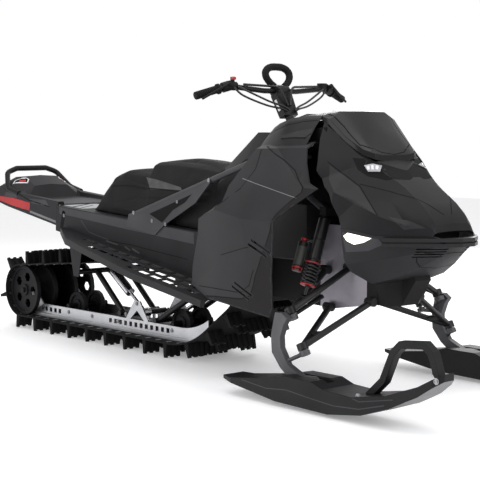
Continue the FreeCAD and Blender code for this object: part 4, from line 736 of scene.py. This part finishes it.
def makeShocks():
    top, foot = at(*shockSet["top"]), at(*shockSet["foot"])
    span = foot - top
    unit = span.normalized()
    across = unit.orthogonal().normalized()
    beside = unit.cross(across)
    radius = shockSet["bodyRadius"]
    black = [turnedMesh("body", top, foot, [(0, 10), (.03, 11), (.04, radius - 4), (.05, radius),
        (.30, radius), (.305, radius - 2), (.315, radius - 2), (.32, radius), (.55, radius),
        (.56, radius - 3), (.60, radius - 3), (.61, 13), (.86, 13), (.87, 9), (1, 9)])]
    coil = []
    reach, steps = shockSet["coilRadius"] / 1000, shockSet["coilSteps"]
    count = shockSet["turns"] * steps
    for index in range(count + 1):
        share = shockSet["springStart"] + (shockSet["springEnd"] - shockSet["springStart"]) * index / count
        turn = 2 * math.pi * index / steps
        coil.append(top + span * share + (across * math.cos(turn) + beside * math.sin(turn)) * reach)
    black.append(sweptMesh("coil", coil, shockSet["wire"], 10))
    branch = top + span * shockSet["branch"]
    tankTop = branch + Vector(shockSet["reservoirTop"]) / 1000
    tank, size = unit * (shockSet["reservoirLength"] / 1000), shockSet["reservoirRadius"]
    black.append(turnedMesh("cap", tankTop, tankTop + tank, [(0, size - 5), (.02, size), (.16, size),
        (.17, size - 1.5), (.80, size - 1.5), (.81, size), (1, size - 3)]))
    bend = tankTop + (branch - tankTop) * .45 + Vector((0, 0, .006))
    black.append(sweptMesh("hose", smoothLine([tankTop + unit * .012, bend, branch]), 8.0, 12))
    red = [turnedMesh("ring", tankTop + tank * first, tankTop + tank * last,
                      [(0, size + more), (1, size + more)])
           for first, last, more in ((.86, .91, .4), (.96, .99, -1.5))]
    red.append(turnedMesh("knob", tankTop - unit * .016, tankTop - unit * .0005, shockSet["knob"], 12))
    red += [turnedMesh("ring", top + span * first, top + span * last, shockSet["collar"])
            for first, last in ((.595, .612), (.866, .88))]
    olive = [turnedMesh("tank", tankTop + tank * .17, tankTop + tank * .80,
                        [(0, size - .6), (1, size - .6)])]
    addPair("shockBodies", black, "shock_black", "root", ("ski_shocks",))
    addPair("shockReds", red, "shock_black", finish="patchRed")
    addPair("shockTanks", olive, "shock_black", finish="oliveGrey")


makeShocks()
print("shocks made")

# handlebar: padded strap, ribbed grips and the cables between them
barSet = {
    "foot": (420, 0, 925), "head": (292, 0, 1172), "shoulder": (284, 280, 1188), "end": (250, 400, 1152),
    "barRadius": 11.5, "gripLength": 112.0, "gripRadius": 16.6, "gripRib": 7.0,
    "strapRadius": 15.5, "strapLean": (-.22, 0, .975),
    "strap": [
        (-26, 20), (-44, 31), (-62, 50), (-68, 70), (-60, 88), (-36, 101), (0, 104), (36, 101), (60, 88),
        (68, 70), (62, 50), (44, 31), (26, 20)],
    "cables": [
        [(300, -262, 1184), (312, -222, 1150), (340, -120, 1112), (358, -48, 1098), (364, -24, 1088)],
        [(304, -244, 1186), (326, -176, 1156), (346, -104, 1126), (362, -44, 1108), (367, -16, 1092)]],
    "cableRadius": 4.2, "button": (306, -270, 1213), "buttonRadius": 10.5, "buttonTop": 1225.0,
    "label": [(186, -7), (236, -7), (236, 6), (186, 6)]}


def makeBarPieces():
    foot, head = at(*barSet["foot"]), at(*barSet["head"])
    axis = (head - foot).normalized()
    lean = Vector(barSet["strapLean"])
    route = [head + Vector((0, y / 1000, 0)) + lean * (rise / 1000) for y, rise in barSet["strap"]]
    line = smoothLine(route, 6)
    count = len(line) - 1
    radius = barSet["strapRadius"]
    thick = [radius * (1 - .12 * abs(2 * index / count - 1) ** 3 - (.05 if index % 6 == 0 else 0))
             for index in range(count + 1)]
    addPiece("strapLoop", sweptMesh("strapLoop", line, thick, 18), "grip_rubber", "handlebar_set",
             ("grab_strap",))
    shoulder, end = at(*barSet["shoulder"]), at(*barSet["end"])
    unit = (end - shoulder).normalized()
    start = end - unit * ((barSet["gripLength"] - 2 * barSet["barRadius"]) / 1000)
    stop = start + unit * (barSet["gripLength"] / 1000)
    gripRadius, ribs = barSet["gripRadius"], int(barSet["gripLength"] / barSet["gripRib"])
    profile = [(0, gripRadius * 1.3), (.09, gripRadius * 1.3), (.10, gripRadius - 1)]
    for index in range(2, ribs - 1):
        share = index / ribs
        profile += [(share + step, gripRadius - deep)
                    for step, deep in ((0, 1.6), (.012, 0), (.045, 0), (.055, 1.6))]
    profile += [(.97, gripRadius), (1, gripRadius - 3)]
    grip = turnedMesh("grip", start, stop, profile)
    cables = [sweptMesh("cable", smoothLine([at(*point) for point in points], 6), barSet["cableRadius"], 10)
              for points in barSet["cables"]]
    addPair("cableArcs", cables, "cable_black", "handlebar_set")
    button = at(*barSet["button"])
    top = Vector((button.x, button.y, barSet["buttonTop"] / 1000))
    radius = barSet["buttonRadius"]
    cap = turnedMesh("buttonCap", button, top,
                     [(0, radius - 1), (.2, radius), (.75, radius), (1, radius - 3)], 20)
    addPiece("buttonCap", cap, "black_plastic", "handlebar_set", finish="patchRed")
    ahead = axis.cross(Vector((0, 1, 0)))
    ahead *= 1 if ahead.x > 0 else -1
    corners = [foot + axis * (rise / 1000) + ahead * (side / 1000) for rise, side in barSet["label"]]
    outline = [(point.x * 1000 - wholeShift, -45, point.z * 1000) for point in corners]
    label = patchMesh("riserLabel", ["steering_post"], outline, flank, .8, .008)
    addPiece("riserLabel", label, "black_steel", "handlebar_set", finish="patchWhite")
    addPair("gripPair", [grip], "grip_rubber", "handlebar_set", ("grips",))


makeBarPieces()
print("handlebar pieces made")

# seat: the CAD cushion made soft, then its sewn lines pressed in
# (metres, but routes in mm; roof is the tunnel's top there: height, its x, fall along x)
seatSet = {
    "voxel": .008, "shrink": .985, "steps": 16, "cap": .010, "seamDepth": .0035, "seamWidth": .007,
    "upperFrom": .09, "lowered": .006, "halfWidth": .168, "heldAbove": .016,
    "roof": (.646, -1.055, .09 / 1.405),
    "cloth": {
        "quality": 4, "mass": .3, "tension_stiffness": 12, "compression_stiffness": 12,
        "bending_stiffness": 2, "use_pressure": True, "uniform_pressure_force": 3.0},
    "seams": [
        [(-830, 0, 668), (-800, -130, 722), (-640, -141, 800), (-500, -141, 768), (-166, -146, 744),
         (50, -150, 742)],
        [(-452, 0, 884), (-452, -90, 882), (-466, -135, 806)],
        [(-830, -150, 640), (-500, -160, 700), (50, -160, 700)]],
    "weltWidth": 4.5, "welts": [
        [(-700, -140, 748), (-520, -141, 752), (-500, -141, 745), (-183, -146, 741), (-100, -147, 756),
         (40, -148, 812)]],
    "patch": [(-466, -135, 803), (-183, -143, 757), (-170, -146, 742), (-397, -148, 742)]}


def seamPull(point, lines):
    nearest = 1.0
    for line in lines:
        for start, end in zip(line, line[1:]):
            span = end - start
            share = min(1.0, max(0.0, (point - start).dot(span) / span.length_squared))
            nearest = min(nearest, (point - start - span * share).length)
    return math.exp(-(nearest / seatSet["seamWidth"]) ** 2)


def makeSeat():
    mesh = nodeShape("seat", .1)
    low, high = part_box("seat")
    middle = (low[0] + high[0]) / 2
    for vert in mesh.vertices:
        vert.co.y *= seatSet["shrink"]
        vert.co.x = middle + (vert.co.x - middle) * seatSet["shrink"]
        if vert.co.z > low[2] + seatSet["upperFrom"]:
            vert.co.z -= seatSet["lowered"]
    seat = newObject("seatCushion", mesh)
    cells = seat.modifiers.new("cells", "REMESH")
    cells.mode = "VOXEL"
    cells.voxel_size = seatSet["voxel"]
    seat.data = bakedMesh(seat)
    rest = [vert.co.copy() for vert in seat.data.vertices]
    held = seat.vertex_groups.new(name="held")
    height, start, fall = seatSet["roof"]
    for vert in seat.data.vertices:
        if vert.co.z < height - (vert.co.x - start) * fall + seatSet["heldAbove"]:
            held.add([vert.index], 1.0, "REPLACE")
    cloth = seat.modifiers.new("cloth", "CLOTH")
    for setting, value in seatSet["cloth"].items():
        setattr(cloth.settings, setting, value)
    cloth.settings.vertex_group_mass = "held"
    cloth.settings.effector_weights.gravity = 0
    for step in range(1, seatSet["steps"] + 1):
        bpy.context.scene.frame_set(step)
    swollen = bakedMesh(seat)
    for vert, start in zip(swollen.vertices, rest):
        move = vert.co - start
        if move.length > seatSet["cap"]:
            vert.co = start + move.normalized() * seatSet["cap"]
    bpy.context.scene.frame_set(1)
    seat.vertex_groups.clear()
    seat.data = swollen
    smooth = seat.modifiers.new("smooth", "SMOOTH")
    smooth.iterations = 4
    seat.modifiers.new("finer", "SUBSURF").levels = 1
    seat.data = bakedMesh(seat)
    lines = []
    for route in seatSet["seams"]:
        points = [at(*point) for point in route]
        lines += [points, [Vector((point.x, -point.y, point.z)) for point in points]]
    seat.data.update()
    pulls = [(vert, seamPull(vert.co, lines)) for vert in seat.data.vertices]
    for vert, pull in pulls:
        if pull > .02:
            vert.co -= vert.normal * (seatSet["seamDepth"] * pull)
    half = seatSet["halfWidth"]
    for vert in seat.data.vertices:
        vert.co.y = max(-half, min(half, vert.co.y))
        vert.co.z = max(low[2], min(high[2], vert.co.z))
        vert.co.x = max(low[0], min(high[0], vert.co.x))
    seat.data.shade_smooth()
    seat.data.materials.clear()
    seat.data.materials.append(finishes["seat_cover"])
    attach(seat, "root")
    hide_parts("seat")
    sewn = (0, -1, .5)
    patch = patchMesh("seatPatch", [seat.data], seatSet["patch"], sewn, 1.2, .005)
    addPair("seatPatches", [patch], "seat_cover", finish="seatMottle")
    welts = [bandMesh("welt", [seat.data], route, seatSet["weltWidth"], sewn, 1.6)
        for route in seatSet["welts"]]
    addPair("seatWelts", welts, "seat_cover", finish="seamDark")


makeSeat()
print("seat padded")

# fasteners, set out by the same tree: radius, height, slot, places on the right-hand side
boltSet = {
    "panelScrews": (6.0, 3.0, "black_steel", [
        (-435, -221, 640), (-300, -221, 610), (-120, -221, 700), (90, -221, 800), (-205, -221, 600),
        (-981, -215.5, 533), (-1000, -215.5, 600)]),
    "railBolts": (7.0, 4.0, "runner_steel", [
        (-1400, -126.5, 160), (-1325, -126.5, 120), (-625, -126.5, 150), (-455, -126.5, 150),
        (-540, -126.5, 208), (-690, -126.5, 110), (-1100, -126.5, 112), (-900, -126.5, 112),
        (-280, -126.5, 112)])}
# washer, head and socket: share of the radius, share of the height
boltProfile = [(1.45, 0), (1.45, .25), (1.02, .3), (1, .9), (.86, 1.0), (.5, 1.0), (.5, .55)]


def boltShape(radius, height):
    across, beside, up = Vector((1, 0, 0)), Vector((0, 1, 0)), Vector((0, 0, height / 1000))
    return ringMesh("bolt", [circlePoints(up * rise, across, beside, radius * share / 1000, 12)
                             for share, rise in boltProfile])


def makeBolts():
    for name, (radius, height, slotName, places) in boltSet.items():
        spots = []
        for x, y, z in places:
            spots += [(at(x, y, z), aimTurn(flank)), (at(x, -y, z), aimTurn((0, 1, 0)))]
        addPiece(name, repeatedMesh(name, boltShape(radius, height), spots), slotName, finish="boltSteel")


makeBolts()
print("fasteners set")

# skis: bright bolts at the feet of the loops, a painted highlight in lighter grey on the faces under the
# tip, and the lines along the flank
skiSet = {
    "bolts": [(1251, -529, 96), (1574, -502, 191)], "boltRadius": 8.0, "boltHeight": 5.0, "tipFrom": 1350,
    "ridge": [
        (655, -534, 71), (794, -540, 60), (905, -542, 70), (1028, -542, 58), (1145, -542, 49),
        (1267, -542, 56), (1379, -537, 85)],
    "rim": [(1061, -542, 105), (1221, -536, 92), (1267, -542, 82), (1415, -536, 110)]}


def skinMesh(name, source, kept, lift):
    # a thin copy of the faces that are kept, lifted along their own outward directions
    work = bmesh.new()
    work.from_mesh(source)
    work.normal_update()
    bmesh.ops.delete(work, geom=[face for face in work.faces if not kept(face)], context="FACES")
    work.normal_update()
    for vert in work.verts:
        vert.co += vert.normal * (lift / 1000)
    return plainMesh(name, work)


def makeSkiTrims():
    shape = nodeShape("ski_right", .1)
    tipFrom = at(skiSet["tipFrom"], 0, 0).x
    # painted highlight: the downward faces under the tip are copied a little out and given a lighter grey
    tip = skinMesh("skiTip", shape,
                   lambda face: face.calc_center_median().x > tipFrom and face.normal.z < -.15, .5)
    outward = (0, -1, .1)
    lines = [bandMesh("skiLine", ["ski_right"], skiSet["ridge"], 3.5, outward, .6),
             bandMesh("skiRim", ["ski_right"], skiSet["rim"], 3.0, outward, .6)]
    spots = [(at(*place), aimTurn(flank)) for place in skiSet["bolts"]]
    bolts = repeatedMesh("skiBolts", boltShape(skiSet["boltRadius"], skiSet["boltHeight"]), spots)
    for name, mesh, slotName, finishName in (
            ("skiTip", tip, "ski_plastic", "lineGrey"),
            ("skiLines", joinMeshes("skiLines", lines), "ski_plastic", "bandGrey"),
            ("skiBolts", bolts, "black_steel", "boltSteel")):
        addPiece(name + "Left", mirroredMesh(mesh), slotName, "ski_left", finish=finishName)
        addPiece(name + "Right", mesh, slotName, "ski_right", finish=finishName)


makeSkiTrims()
print("ski trims made")

# painted shade: dark hulls behind the gaps of the body stand for the shade inside: half width, half width
# ahead of noseFrom, bevel, profile in mm
linerSet = {
    "duct": (66.0, 88.0, 6.0, [
        (475, 640), (475, 862), (545, 900), (565, 985), (640, 1012), (770, 1020), (905, 880), (1020, 785),
        (1150, 672), (1188, 628), (1168, 545), (1118, 508), (900, 520), (700, 560)]),
    "bridge": (204.0, 204.0, 4.0, [
        (600, 956), (600, 1012), (742, 1020), (762, 1022), (778, 985), (768, 956)]),
    "cowl": (176.0, 176.0, 4.0, [
        (600, 1000), (600, 1038), (700, 1046), (745, 1050), (764, 1038), (764, 1000)])}
noseFrom = 1100


def makeLiner():
    hulls = []
    for name, (half, noseHalf, width, profile) in linerSet.items():
        sides = [[at(x, side * (half if x < noseFrom else noseHalf), z) for x, z in profile]
            for side in (-1, 1)]
        hulls.append(softened(name + "Soft", ringMesh(name, sides), width, 20))
    addPiece("innerDuct", joinMeshes("innerDuct", hulls), "black_plastic", finish="seamDark")


# only the middle of the bulkhead is bare casting: it is parted where the colour changes, mm
partSet = {"rear": 655.0, "front": 905.0, "top": 655.0}


def makeCasting():
    rear, front, top = at(partSet["rear"], 0, 0), at(partSet["front"], 0, 0), at(0, 0, partSet["top"])
    ahead, above = Vector((1, 0, 0)), Vector((0, 0, 1))
    parts = {"bulkheadRear": [(rear, -ahead)], "bellyPan": [(front, ahead)],
             "bulkheadTop": [(rear, ahead), (front, -ahead), (top, above)],
             "bulkheadCast": [(rear, ahead), (front, -ahead), (top, -above)]}
    for name, cuts in parts.items():
        work = bmesh.new()
        work.from_mesh(nodeShape("bulkhead", .2))
        for place, kept in cuts:
            cut = bmesh.ops.bisect_plane(work, geom=work.verts[:] + work.edges[:] + work.faces[:],
                                         dist=weld, plane_co=place, plane_no=kept, clear_inner=True)
            edges = [item for item in cut["geom_cut"] if isinstance(item, bmesh.types.BMEdge)]
            bmesh.ops.holes_fill(work, edges=edges)
        bmesh.ops.recalc_face_normals(work, faces=work.faces)
        bare = name == "bulkheadCast"
        addPiece(name, softened(name + "Soft", plainMesh(name, work), 4.0, 30), "cast_silver", "root",
                 ("bulkhead",) if bare else (), None if bare else "archBrown")


makeLiner()
makeCasting()
print("liner and casting made")

# headlamp lenses with their cells, and the lit lower lamps with a dark rim
lampSet = {
    "lens": [(930, -166, 877), (948, -141, 883), (963, -103, 875), (983, -134, 854), (952, -167, 854)],
    "cells": [
        [(938, -162, 873), (944, -152, 876), (953, -158, 861), (947, -165, 859)],
        [(948, -147, 876), (953, -139, 877), (963, -147, 861), (957, -154, 861)],
        [(957, -132, 875), (962, -121, 873), (973, -135, 860), (966, -142, 861)]],
    "lower": [
        (959, -303, 622), (978, -301, 634), (1058, -260, 616), (1030, -269, 600), (996, -285, 591),
        (970, -298, 604)]}


def grownOutline(points, factor):
    middle = [sum(point[axis] for point in points) / len(points) for axis in range(3)]
    return [tuple(middle[axis] + (point[axis] - middle[axis]) * factor for axis in range(3))
        for point in points]


def makeLampTrims():
    hosts = ["hood", "headlamps"]
    lens = lampSet["lens"]
    dark = [patchMesh("bezel", hosts, grownOutline(lens, 1.32), browOut, 1.0, .006)]
    clear = [patchMesh("lens", hosts, lens, browOut, 2.2, .006)]
    cells = [patchMesh("cell", hosts, cell, browOut, 3.0, .005) for cell in lampSet["cells"]]
    addPair("lampBezels", dark, "clear_lens", finish="seamDark")
    addPair("lampLenses", clear, "clear_lens")
    addPair("lampCells", cells, "clear_lens", finish="patchWhite")
    hosts, outward = panSide
    addPair("lowerLenses", [patchMesh("glow", hosts, lampSet["lower"], outward, 1.6, .006)], "warm_lens")


makeLampTrims()
print("lamp trims made")
